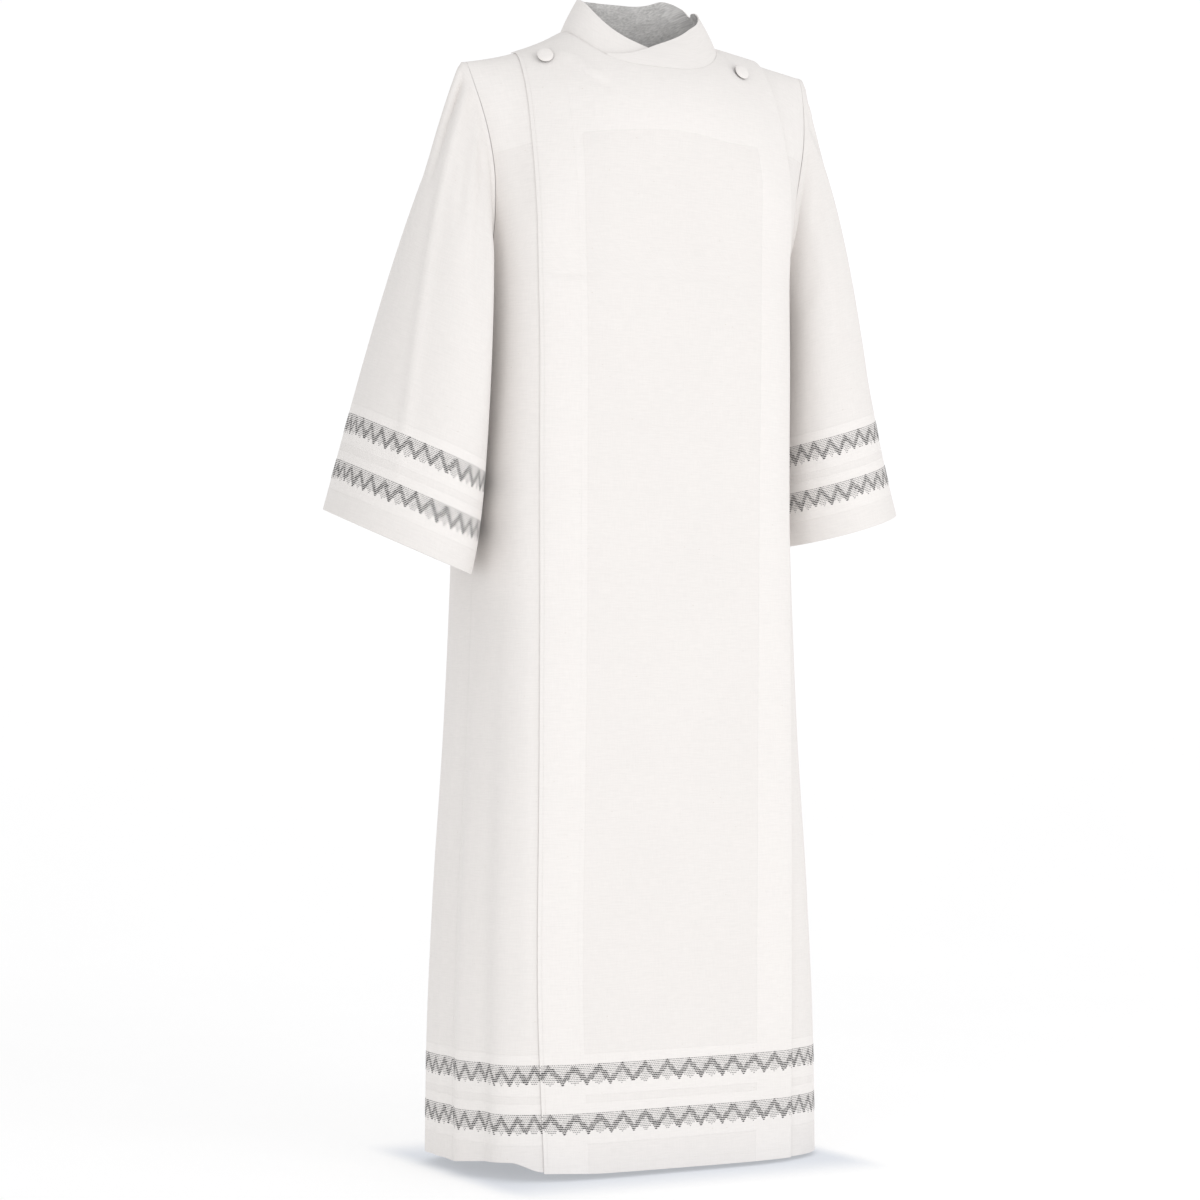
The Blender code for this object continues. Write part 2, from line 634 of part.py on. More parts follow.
def make_collar():
    """The stand collar: one band round the neck, its tapered ends crossing at the front."""
    edges, normals, heights = [], [], []
    for face_name, place, layer in collar_stations():
        face = FRONT_FACE if face_name == "front" else BACK_FACE
        here, normal, _ = face.frame(0, place)
        edges.append(here + normal * layer)
        normals.append(normal)
        x = place * SHOULDER_HALF
        if face_name == "back":
            height = COLLAR_SIDE + (COLLAR_BACK - COLLAR_SIDE) * (1 - (x / NECK_HALF) ** 2)
        else:
            tip = NECK_HALF * math.sin(math.pi / 2 * COLLAR_TIP / NECK_STEPS)
            length = COLLAR_TAPER_OVER if layer else COLLAR_TAPER_UNDER
            taper = min((tip + x) / length if layer else (tip - x) / length, 1.0)
            height = COLLAR_END + (COLLAR_SIDE - COLLAR_END) * taper
        heights.append(height)
    edges = np.array(edges)
    along = np.gradient(edges, axis=0)
    base = []
    for here, normal, direction in zip(edges, normals, along):
        off = unit(np.cross(normal, direction))
        towards = np.array([-here[0], -here[1], NECK_HALF])
        base.append(here + off * SEAM * (1 if np.dot(off, towards) > 0 else -1))
    base = np.array(base)
    grid = [base]
    for step in range(1, COLLAR_STEPS + 1):
        t = step / COLLAR_STEPS
        ring = []
        for here, height in zip(base, heights):
            inward = -unit(np.array([here[0], here[1] * COLLAR_FLAT, 0.0]))
            forward = ease((1 - here[1] / NECK_BACK) / COLLAR_LEAN_REACH)
            lean = COLLAR_LEAN_BACK + (COLLAR_LEAN - COLLAR_LEAN_BACK) * forward
            ring.append(here + np.array([0.0, 0.0, height * t]) + inward * height * t * lean)
        grid.append(np.array(ring))
    grid = np.array(grid)
    facing = grid_normals(grid)
    if np.dot(facing[1, 0], -np.array([0.0, 1.0, 0.0])) < 0:
        facing = -facing
    facing[0] = np.array(normals)
    return add_wall("collar", grid, facing)


def make_button(name, x, row):
    """A domed, cloth-covered button lying on the outer front."""
    place = FRONT_FACE.place_of(row, x)
    here, normal, across = FRONT_FACE.frame(row, place)
    facing = unit(normal + np.array([0.0, -BUTTON_TILT, 0.0]))
    across = unit(across - facing * np.dot(across, facing))
    other = np.cross(facing, across)
    tilt = math.acos(np.dot(normal, facing))
    rise = BUTTON_PROFILE[0][0] * BUTTON_RADIUS * math.sin(tilt)
    seat = here + normal * (2 * LAYER + CLOTH / 2 + SEAM + rise)
    sides = BUTTON_SIDES
    vertices, faces = [], []
    for radius, height in BUTTON_PROFILE:
        for k in range(sides):
            turn = 2 * math.pi * k / sides
            flat = across * math.cos(turn) + other * math.sin(turn)
            vertices.append(seat + flat * radius * BUTTON_RADIUS + facing * height * BUTTON_HEIGHT)
    for i in range(len(BUTTON_PROFILE) - 1):
        for k in range(sides):
            m = (k + 1) % sides
            faces.append((i * sides + k, i * sides + m, (i + 1) * sides + m, (i + 1) * sides + k))
    bottom = len(vertices)
    vertices.append(seat)
    vertices.append(seat + facing * BUTTON_HEIGHT)
    last = (len(BUTTON_PROFILE) - 1) * sides
    for k in range(sides):
        m = (k + 1) % sides
        faces.append((bottom, m, k))
        faces.append((bottom + 1, last + k, last + m))
    return add_object(name, vertices, faces)


def main():
    """Builds every piece of the robe."""
    clear_scene()
    make_back()
    make_front_inner()
    make_front_outer()
    make_sleeve("sleeve_right", -1)
    make_sleeve("sleeve_left", 1)
    make_collar()
    for name, (x, row) in BUTTON_PLACES.items():
        make_button(name, x, row)


main()
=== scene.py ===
"""Wrap-front alb, filled out as if worn: cloth, collar, buttons, stitched bands and a plain stage.

Metres, +Z up. The front faces -Y and the wearer's left is at +X. The origin is the middle of the
neck opening at the height of the shoulder seams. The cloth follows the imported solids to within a
few millimetres.
"""
import math

import bpy
import numpy as np
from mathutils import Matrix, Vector


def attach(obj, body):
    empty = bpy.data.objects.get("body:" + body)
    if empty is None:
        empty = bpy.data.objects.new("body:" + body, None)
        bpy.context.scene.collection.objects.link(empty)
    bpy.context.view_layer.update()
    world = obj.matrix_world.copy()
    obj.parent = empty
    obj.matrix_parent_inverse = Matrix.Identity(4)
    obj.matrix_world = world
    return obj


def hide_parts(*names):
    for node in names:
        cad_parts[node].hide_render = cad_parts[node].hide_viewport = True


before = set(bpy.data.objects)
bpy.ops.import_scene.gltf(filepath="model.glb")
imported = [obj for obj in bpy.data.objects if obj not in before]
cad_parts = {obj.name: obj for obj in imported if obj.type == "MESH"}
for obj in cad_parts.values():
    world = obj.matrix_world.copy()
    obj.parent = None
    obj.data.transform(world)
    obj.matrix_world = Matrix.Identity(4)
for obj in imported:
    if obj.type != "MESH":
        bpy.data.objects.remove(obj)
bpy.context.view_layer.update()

bl_info = {
    "name": "Wrap-front Alb",
    "version": (1, 0, 0),
    "blender": (4, 5, 0),
    "location": "3D View > Sidebar > Alb",
    "description": "Cloth, stitched bands, buttons and stage of a wrap-front alb",
    "category": "Object",
}

CLOTH = 0.0016              # thickness of the wall
SEAM = 0.0003
LAYER = 0.0025              # from one layer of a fold to the next
DOUBLED = 0.02              # distance inside a doubled part, where all of a piece is doubled
NECK_HALF = 0.108
NECK_FRONT = 0.0755
NECK_BACK = 0.050
NECK_SQUARE = {-1: 2.8, 1: 2.5}
SHOULDER_HALF = 0.240
NECK_PLACE = NECK_HALF / SHOULDER_HALF
SHOULDER_DROP = {-1: 0.047, 1: 0.020}
SHOULDER_SAG = {-1: 0.006, 1: 0.0}
ROUND_NECK = 0.15
ROUND_FRONT = 0.26
ROUND_BACK = 0.20
ROUND_REACH = 0.8
UNDERARM_Z = -0.320
ARM_FRONT = 0.048
ARM_BACK = 0.072
ARM_LOW = 0.35
ARM_ROWS = 14
SKIRT_ROWS = 12
ROWS = ARM_ROWS + SKIRT_ROWS
HEM_Z = -1.440

# Place across each piece, and how much higher its hem is turned up there
LIFT_POWER = 3
HEM_LIFTS = {
    "back": ((-1.0, 0.006), (-0.85, 0.008), (-0.5, 0.002), (-0.2, 0.0), (1.0, 0.0)),
    "front_inner": ((-1.0, 0.006), (-0.85, 0.012), (-0.66, 0.016), (-0.54, 0.004), (0.0, 0.0),
                    (1.0, 0.0)),
    "front_outer": ((-1.0, 0.002), (-0.54, 0.002), (-0.3, -0.001), (0.75, -0.003), (1.0, 0.0)),
}

# Body sections: height, half width, middle, depths before and behind, squareness, more width at +X
SECTIONS = (
    (0.030, 0.264, 0.000, 0.100, 0.100, 2.5, -0.004),
    (-0.045, 0.255, 0.002, 0.106, 0.104, 2.5, 0.000),
    (-0.130, 0.237, 0.012, 0.116, 0.114, 2.6, 0.011),
    (-0.200, 0.223, 0.020, 0.123, 0.124, 3.0, 0.008),
    (-0.320, 0.2125, 0.029, 0.130, 0.132, 3.6, 0.000),
    (-0.450, 0.2105, 0.033, 0.134, 0.135, 4.0, 0.000),
    (-0.600, 0.2125, 0.035, 0.136, 0.136, 4.0, 0.000),
    (-0.870, 0.2230, 0.034, 0.137, 0.138, 4.0, 0.000),
    (-1.115, 0.2385, 0.030, 0.137, 0.141, 4.0, 0.000),
    (-1.300, 0.2460, 0.027, 0.137, 0.143, 4.0, 0.000),
    (-1.450, 0.2480, 0.026, 0.137, 0.143, 4.0, 0.000),
)

FOLD_FORWARD = 1.5          # how much more a fold moves to the front or back than sideways
FOLD_FADE = 0.05
CREASE_FADE = 0.03
CREASE_ENDS = 0.25

# Folds of the skirt: face, place across it, half width, depth at the hem, height where it starts
FOLDS = (
    ("front", -0.93, 0.050, 0.007, -0.62),
    ("front", -0.79, 0.050, -0.009, -0.60),
    ("front", 0.88, 0.050, -0.006, -0.70),
    ("front", 0.97, 0.040, 0.004, -0.80),
    ("back", -0.90, 0.035, 0.0035, -0.45),
    ("back", -0.80, 0.075, 0.008, -0.55),
    ("back", -0.55, 0.085, -0.009, -0.45),
    ("back", -0.22, 0.090, 0.010, -0.50),
    ("back", 0.10, 0.085, -0.008, -0.42),
    ("back", 0.40, 0.095, 0.010, -0.55),
    ("back", 0.70, 0.080, -0.007, -0.60),
)

# Soft creases: face, start x and z, end x and z, half width, height (below zero for a hollow)
CREASES = (
    ("front", -0.140, -0.026, -0.085, -0.075, 0.0065, 0.0034),
    ("front", -0.133, -0.040, -0.080, -0.086, 0.0065, -0.0026),
    ("front", -0.165, -0.060, -0.120, -0.200, 0.022, 0.0018),
    ("front", -0.205, -0.075, -0.190, -0.260, 0.012, -0.0022),
    ("front", 0.120, -0.060, 0.150, -0.220, 0.024, 0.0016),
    ("front", 0.205, -0.070, 0.196, -0.200, 0.010, 0.0020),
    ("front", 0.060, -0.160, 0.090, -0.520, 0.040, 0.0012),
    ("front", -0.050, -0.300, -0.030, -0.900, 0.045, -0.0012),
    ("front", 0.100, -0.700, 0.115, -1.300, 0.040, -0.0014),
    ("front", -0.200, -0.500, -0.196, -0.800, 0.012, 0.0018),
    ("front", -0.192, -0.700, -0.205, -1.350, 0.011, 0.0016),
    ("back", -0.160, -0.060, -0.080, -0.170, 0.018, 0.0024),
    ("back", 0.150, -0.050, 0.085, -0.160, 0.020, 0.0022),
    ("back", -0.190, -0.120, -0.150, -0.330, 0.020, -0.0022),
    ("back", 0.195, -0.110, 0.160, -0.320, 0.018, -0.0020),
    ("back", -0.060, -0.200, -0.040, -0.620, 0.035, 0.0022),
    ("back", 0.070, -0.240, 0.050, -0.700, 0.035, -0.0018),
    ("back", -0.130, -0.350, -0.140, -0.760, 0.030, -0.0020),
    ("back", 0.150, -0.400, 0.160, -0.900, 0.030, 0.0022),
)

PANEL_EDGES = (
    (0.000, -0.1690, 0.1685),
    (-0.080, -0.1810, 0.1745),
    (-0.200, -0.1790, 0.1890),
    (-0.400, -0.1765, 0.1865),
    (-0.650, -0.1775, 0.1830),
    (-0.900, -0.1810, 0.1800),
    (-1.220, -0.1880, 0.1740),
    (-1.450, -0.1815, 0.1700),
)
PLEAT_DEPTH = 0.028
INNER_STOP = 0.034
PANEL_SINK = 1.20
SINK_START = 0.33
SINK_REACH = 0.25
EDGE_COLUMNS = 3
EDGE_THIN = 0.5

# Cuffs: side, middle x, y and z, half sizes, rise outwards and backwards, fullness outside
CUFFS = (
    (-1, 0.324, 0.028, -0.652, 0.088, 0.112, 0.38, 0.22, 0.018),
    (1, 0.316, 0.030, -0.622, 0.082, 0.112, 0.31, 0.00, -0.020),
)
HEAD_STEP = 0.0070
HEAD_PLEAT = 0.0025
HEAD_PLEAT_LENGTH = 0.16
SLEEVE_LENGTH = 0.58
SLEEVE_BULGE = 0.055
BULGE_POWER = 1.5
HANDLE_TOP = 0.30
HANDLE_CUFF = 0.33
ROW_SPREAD = 1.15
CREASE_START = 0.12
CREASE_END = 0.3

# Sleeve creases: side, turn (parts of 28) and length share at start and end, half width, height
SLEEVE_CREASES = (
    (-1, 3.2, 0.01, 4.0, 0.95, 0.009, 0.0045),
    (-1, 2.2, 0.01, 2.0, 0.30, 0.009, -0.0040),
    (-1, 4.4, 0.01, 5.0, 0.30, 0.010, -0.0035),
    (-1, 6.2, 0.00, 7.0, 0.42, 0.020, -0.0065),
    (-1, 8.0, 0.10, 8.6, 0.70, 0.020, 0.0022),
    (-1, 22.0, 0.05, 21.0, 0.80, 0.022, 0.0026),
    (-1, 24.6, 0.02, 24.0, 0.50, 0.014, -0.0022),
    (1, 2.6, 0.02, 3.4, 0.40, 0.010, -0.0028),
    (1, 4.4, 0.02, 5.0, 0.80, 0.014, 0.0024),
    (1, 6.4, 0.05, 7.4, 0.60, 0.018, -0.0020),
    (1, 9.0, 0.20, 9.4, 0.90, 0.022, 0.0020),
    (1, 22.4, 0.05, 21.6, 0.75, 0.020, 0.0026),
    (1, 25.0, 0.02, 24.4, 0.45, 0.013, -0.0020),
)

COLLAR_BACK = 0.074
COLLAR_SIDE = 0.051
COLLAR_LEAN = 0.52
COLLAR_LEAN_BACK = 0.30
COLLAR_LEAN_REACH = 0.4
COLLAR_FLAT = 1.3
COLLAR_TAPER_OVER = 0.122
COLLAR_TAPER_UNDER = 0.158
COLLAR_TIP_TURN = 0.5       # share of a quarter turn from the middle where each tapered end stops
COLLAR_END = 0.003
COLLAR_BOW = 0.0012
COLLAR_DIP = 0.007          # how much lower its rim is at the wearer's left side
RIM_ROUND = 0.5
DIP_BACK = (0.98, 0.02)      # where the dip starts and its reach, as shares of the neck's half
DIP_FRONT = (0.6, 0.4)
COLLAR_FALL = {-1: 2, 1: 9}

BUTTON_RADIUS = 0.0105
BUTTON_HEIGHT = 0.0055
BUTTON_TILT = 0.45
BUTTON_UNDER = 4            # rings of faces under the rim, painted dark as shade
SEAT_RADIUS = 0.80          # share of the radius that rests on the cloth
DOME_POWER = 0.62
DOME_START = 0.42
DOME_RISE = 0.58
GATHERS = 12
GATHER_DEPTH = 0.012

# Distance from the middle and row of the front where each button sits
BUTTON_PLACES = {"button_right": (-0.150, 2.43), "button_left": (0.121, 3.19)}

# Bands above the hem and above the cuffs: lowest and highest edge of the stitches
HEM_BANDS = ((0.049, 0.076), (0.110, 0.137))
CUFF_BANDS = ((0.043, 0.070), (0.104, 0.131))
BAND_MARGIN = 0.012
FACING = 0.055

# Lower edge of the doubled yoke: distance across and height
YOKE_EDGE = (
    (-0.240, -0.1700),
    (-0.215, -0.1640),
    (-0.180, -0.1530),
    (-0.159, -0.1459),
    (-0.080, -0.1350),
    (0.006, -0.1290),
    (0.097, -0.1380),
    (0.186, -0.1390),
    (0.240, -0.1420),
)
INNER_BANDS = 0.045         # how far the under front's bands run in under the free edge
SIDE_COLUMNS = 26           # columns of the over front's side part
PANEL_LEAD = 11             # columns that the flat panel's bands start before its neckline part
PANEL_PERIOD = 0.0316
SIDE_PERIOD = 0.0215
BAND_LINES = 12
BAND_STEP = 0.0026
BAND_START = 0.0012
BAND_SHIFT = 0.0013
BAND_SPREAD = 0.00025
SHARE_SPREAD = (0.86, 1.10)
BAND_RAISE = CLOTH / 2 + 0.00015
STITCH_LOOK = 0.0012        # how far ahead and behind a stitch the line's direction is read
BOLD_SHARE = 1.15
FINE_SHARE = 0.70

# The zigzag and its filling, as shares of a band's height
ZIGZAG_THICK = 0.34
ZIGZAG_LOW = 0.170
ZIGZAG_RISE = 0.655
FILL_TOP = 0.965
FILL_SLOPE = 0.80

TOP_STEP = 0.0032
TOP_WIDTH = 0.0004
TOP_HEIGHT = 0.0003
TOP_SHARE = 0.8
COLLAR_STITCH = 0.0045
STITCH_SHARE = 0.45         # share of the collar's height that its stitching reaches at most
HEM_STITCH = 0.0105
EDGE_STITCHES = (0.0050, FACING - 0.003)

# Noises of the weave: scale across, scale up and detail
WEAVE_NOISES = ((55.0, 640.0, 3.0), (560.0, 60.0, 3.0), (9.0, 7.0, 2.0), (5.0, 160.0, 2.0))
FLECK_COLOR = (0.45, 0.36, 0.27, 1.0)
FLECK_SHARE = 0.35
EDGE_SOFT = 0.0007
# Width of the painted shade line beside each doubled part
EDGE_SHADE = 0.0022


CAMERA_SENSOR = 36.0
CAMERA_LENS = 87.75
CAMERA_SHIFT = 0.0725
CAMERA_ASIDE = 0.04417
FLOOR_REACH = 4.0
FLOOR_RADIUS = 1.5
FLOOR_TOP = 5.0
FLOOR_HALF = 6.0

# Lights: name, setting of its power, place, target, width and height
LIGHTS = (
    ("Key light", "key_power", (0.9, -3.5, 0.3), (0.0, 0.0, -0.7), 2.4, 2.8),
    ("Fill light", "fill_power", (-2.9, -2.7, -0.5), (0.0, 0.0, -0.7), 1.2, 1.8),
    ("Side light", "side_power", (3.0, -2.4, -0.6), (0.3, 0.0, -0.5), 1.0, 1.8),
)


def smooth_table(rows, column):
    """Returns a smooth function through one column of a table, with heights in its first column."""
    points = sorted((row[0], row[column]) for row in rows)
    xs = np.array([p[0] for p in points])
    ys = np.array([p[1] for p in points])
    slopes = np.diff(ys) / np.diff(xs)
    tangents = np.zeros(len(xs))
    tangents[0] = slopes[0]
    tangents[-1] = slopes[-1]
    for i in range(1, len(xs) - 1):
        if slopes[i - 1] * slopes[i] > 0:
            tangents[i] = 2 * slopes[i - 1] * slopes[i] / (slopes[i - 1] + slopes[i])

    def value(x):
        x = np.clip(x, xs[0], xs[-1])
        i = np.minimum(np.searchsorted(xs, x, side="right") - 1, len(xs) - 2)
        width = xs[i + 1] - xs[i]
        t = (x - xs[i]) / width
        first = (1 + 2 * t) * (1 - t) ** 2 * ys[i] + t * (1 - t) ** 2 * width * tangents[i]
        second = t * t * (3 - 2 * t) * ys[i + 1] + t * t * (t - 1) * width * tangents[i + 1]
        return first + second
    return value


HALF, MIDDLE, FRONT, BACK, POWER, WIDER = (smooth_table(SECTIONS, c) for c in range(1, 7))
FREE_EDGE = smooth_table(PANEL_EDGES, 1)
PLEAT_EDGE = smooth_table(PANEL_EDGES, 2)
YOKE = smooth_table(YOKE_EDGE, 1)
HEM_LIFT = {name: smooth_table(rows, 1) for name, rows in HEM_LIFTS.items()}


def unit(vectors):
    """Returns vectors at length one."""
    vectors = np.asarray(vectors, dtype=float)
    return vectors / np.maximum(np.linalg.norm(vectors, axis=-1, keepdims=True), 1e-12)


def ease(t):
    """Goes smoothly from 0 to 1."""
    t = np.clip(t, 0.0, 1.0)
    return t * t * (3 - 2 * t)


def read_along(at, lengths, values):
    """Reads rows of three values at given lengths along a line."""
    return np.stack([np.interp(at, lengths, values[:, k]) for k in range(3)], axis=-1)


def run_lengths(points):
    """Length from the first point of a line to each of its points."""
    steps = np.linalg.norm(np.diff(points, axis=0), axis=1)
    return np.concatenate(([0.0], np.cumsum(steps)))


def close_ring(grid):
    """Repeats the first column of a ring of points at its end."""
    return np.concatenate([grid, grid[:, :1]], axis=1)


def neck_places(steps):
    """Places from the middle to the corner of the neck, closer together at the corner."""
    return NECK_PLACE * np.sin(np.linspace(0, math.pi / 2, steps))


def put_in_scene(name, data):
    """Adds an object to the scene."""
    thing = bpy.data.objects.new(name, data)
    bpy.context.scene.collection.objects.link(thing)
    return thing


def half_width(z, side):
    """Half width of the body at a height, on the wearer's left for side 1."""
    return HALF(z) + (WIDER(z) if side > 0 else 0.0)


def ridge_z(x):
    """Height of the shoulder line, level over the neck opening and falling to the armholes."""
    reach = np.maximum(np.abs(x) - NECK_HALF, 0.0)
    share = reach / (SHOULDER_HALF - NECK_HALF)
    drop = np.where(x > 0, SHOULDER_DROP[1], SHOULDER_DROP[-1])
    sag = np.where(x > 0, SHOULDER_SAG[1], SHOULDER_SAG[-1])
    return -drop * share - sag * np.sin(np.pi * np.minimum(share, 1.0))


def round_off(t):
    """Depth of the body below the shoulder line, as a share of its full depth."""
    t = np.clip(t, 0.0, 1.0)
    return np.sqrt(1 - (1 - t) ** 2)


def along_segment(x, z, start, end):
    """Distance of points from a line, and a share that fades at both of its ends."""
    start, end = np.array(start), np.array(end)
    line = end - start
    length = float(np.hypot(*line))
    share = ((x - start[0]) * line[0] + (z - start[1]) * line[1]) / length ** 2
    away = ((x - start[0]) * line[1] - (z - start[1]) * line[0]) / length
    return away, ease(share / CREASE_ENDS) * ease((1 - share) / CREASE_ENDS)


class Face:
    """The front or the back of the body, as a fine grid that any row and place can be read from."""

    def __init__(self, name):
        self.name = name
        self.sign, self.depth, self.side_round, self.neck, self.arm = {
            "front": (-1, FRONT, ROUND_FRONT, NECK_FRONT, ARM_FRONT),
            "back": (1, BACK, ROUND_BACK, NECK_BACK, ARM_BACK),
        }[name]
        self.cache = {}
        self.rows = np.concatenate([np.linspace(0, ARM_ROWS, ARM_ROWS * 5 + 1),
                                    np.linspace(ARM_ROWS, ROWS, SKIRT_ROWS * 8 + 1)[1:]])
        half = np.concatenate([neck_places(29), np.linspace(NECK_PLACE, 1.0, 41)[1:]])
        self.places = np.concatenate([-half[:0:-1], half])
        self.grid = np.array([self.line(row, self.places) for row in self.rows])
        self.normals = self.find_normals()
        heights = self.creases(self.grid)
        self.grid = self.grid + self.normals * heights[..., None]
        self.normals = self.find_normals()

    def round(self, place):
        reach = np.minimum(np.abs(place), ROUND_REACH) / ROUND_REACH
        return ROUND_NECK + (self.side_round - ROUND_NECK) * reach ** 2

    def section_y(self, x, z, share, side):
        part = np.minimum(np.abs(x) / half_width(z, side), 1.0)
        power = POWER(z)
        return share * (MIDDLE(z) + self.sign * self.depth(z) * (1 - part ** power) ** (1 / power))

    def armhole(self, row, side):
        angle = math.pi * row / ARM_ROWS
        top = -SHOULDER_DROP[side]
        z = top - (top - UNDERARM_Z) * (1 - math.cos(angle)) / 2
        fullness = self.arm * (1 - ARM_LOW * math.cos(angle)) * math.sin(angle)
        y = self.sign * fullness + MIDDLE(UNDERARM_Z) * (1 - math.cos(angle)) / 2
        share = max(float(round_off((top - z) / self.side_round)), 0.02)
        if row < 0.25:
            return z, SHOULDER_HALF
        across = min(max(self.sign * (y / share - MIDDLE(z)) / self.depth(z), 0.0), 0.999)
        power = POWER(z)
        return z, half_width(z, side) * (1 - across ** power) ** (1 / power)

    def edge(self, row, side):
        """Height and distance out of this face's outer edge, at the armhole or the side seam."""
        if row <= ARM_ROWS:
            z, x = self.armhole(row, side)
            if row < 1:
                x = SHOULDER_HALF + (self.armhole(1, side)[1] - SHOULDER_HALF) * row
            return z, x
        z = UNDERARM_Z + (HEM_Z - UNDERARM_Z) * (row - ARM_ROWS) / SKIRT_ROWS
        return z, half_width(z, side)

    def spacing(self, row, side):
        """Distances out at equal steps along the section from the middle to the edge."""
        key = (round(row, 6), side)
        if key not in self.cache:
            z, out = self.edge(row, side)
            share = round_off((-SHOULDER_DROP[side] - z) / self.side_round)
            xs = out * (1 - (1 - np.linspace(0, 1, 181)) ** 4)
            ys = self.section_y(xs, z, share, side)
            length = np.concatenate(([0.0], np.cumsum(np.hypot(np.diff(xs), np.diff(ys)))))
            self.cache[key] = (length / length[-1], xs)
        return self.cache[key]

    def top_z(self, places):
        """Height of the upper edge: the neckline in the middle, the shoulder line beyond it."""
        x = places * SHOULDER_HALF
        part = np.minimum(np.abs(x) / NECK_HALF, 1.0)
        power = 2.0
        if self.name == "front":
            power = np.where(places > 0, NECK_SQUARE[1], NECK_SQUARE[-1])
        across = (1 - part ** power) ** (1 / power)
        full = self.section_y(x, -0.03, 1.0, -1) * self.sign
        share = np.minimum(self.neck * across / full, 1.0)
        return ridge_z(x) - self.round(places) * (1 - np.sqrt(1 - share ** 2))

    def line(self, row, places):
        """Points of one row of the surface."""
        points = np.zeros((len(places), 3))
        tops = self.top_z(places)
        for side in (-1, 1):
            chosen = places > 0 if side > 0 else places <= 0
            place = places[chosen]
            shares, xs = self.spacing(row, side)
            x = side * np.interp(np.abs(place), shares, xs)
            if row <= ARM_ROWS:
                top = tops[chosen]
                z = top - (top - UNDERARM_Z) * (1 - math.cos(math.pi * row / ARM_ROWS)) / 2
            else:
                z = np.full(len(place), self.edge(row, side)[0])
            share = round_off((ridge_z(place * SHOULDER_HALF) - z) / self.round(place))
            y = self.section_y(x, z, share, side)
            out = unit(np.stack([x, (y - MIDDLE(z)) * FOLD_FORWARD, np.zeros(len(x))], axis=1))
            points[chosen] = np.stack([x, y, z], axis=1) + out * self.fold(place, z)[:, None]
        return points

    def fold(self, place, z):
        """How far the folds push the skirt out or in."""
        total = np.zeros(len(place))
        for face, middle, reach, depth, start in FOLDS:
            if face == self.name:
                grow = ease((start - z) / (start - HEM_Z))
                total += depth * grow * np.exp(-((place - middle) / reach) ** 2)
        return total * ease((1 - np.abs(place)) / FOLD_FADE)

    def creases(self, grid):
        """Height of the soft creases, fading at the edges of the piece."""
        total = np.zeros(grid.shape[:2])
        for face, x0, z0, x1, z1, width, height in CREASES:
            if face == self.name:
                away, share = along_segment(grid[..., 0], grid[..., 2], (x0, z0), (x1, z1))
                total += height * share * np.exp(-(away / width) ** 2)
        return total * ease((1 - np.abs(self.places)) / CREASE_FADE)[None, :]

    def find_normals(self):
        """Outward normals, kept level at the shoulder and side seams so that the pieces meet."""
        across = np.gradient(self.grid, axis=1)
        down = np.gradient(self.grid, axis=0)
        normals = np.cross(across, down) * self.sign
        normals[self.rows >= ARM_ROWS, 0, 1] = 0.0
        normals[self.rows >= ARM_ROWS, -1, 1] = 0.0
        shoulder = np.abs(self.places) * SHOULDER_HALF >= NECK_HALF - 1e-9
        normals[0, shoulder, 1] = 0.0
        return unit(normals)

    def read(self, row, places):
        """Points, normals and directions across at one row, for any places."""
        places = np.atleast_1d(np.asarray(places, dtype=float))
        r = int(np.clip(np.searchsorted(self.rows, row, side="right") - 1, 0, len(self.rows) - 2))
        t = (row - self.rows[r]) / (self.rows[r + 1] - self.rows[r])
        c = np.clip(np.searchsorted(self.places, places, side="right") - 1, 0, len(self.places) - 2)
        s = ((places - self.places[c]) / (self.places[c + 1] - self.places[c]))[:, None]

        def blend(values):
            top = values[r, c] * (1 - s) + values[r, c + 1] * s
            low = values[r + 1, c] * (1 - s) + values[r + 1, c + 1] * s
            return top * (1 - t) + low * t
        points = blend(self.grid)
        normals = unit(blend(self.normals))
        step = self.grid[r, c + 1] - self.grid[r, c]
        across = unit(step - normals * np.sum(step * normals, axis=1, keepdims=True))
        return points, normals, across

    def place_of(self, row, x):
        """Place across that lies a given distance from the middle."""
        side = 1 if x > 0 else -1
        shares, xs = self.spacing(row, side)
        return side * float(np.interp(abs(x), xs, shares))


FRONT_FACE = Face("front")
BACK_FACE = Face("back")


def find_normals(grid, closed):
    """Normals of a grid of points, as rows cross columns."""
    down = np.gradient(grid, axis=0)
    if closed:
        across = np.roll(grid, -1, axis=1) - np.roll(grid, 1, axis=1)
    else:
        across = np.gradient(grid, axis=1)
    return unit(np.cross(across, down))


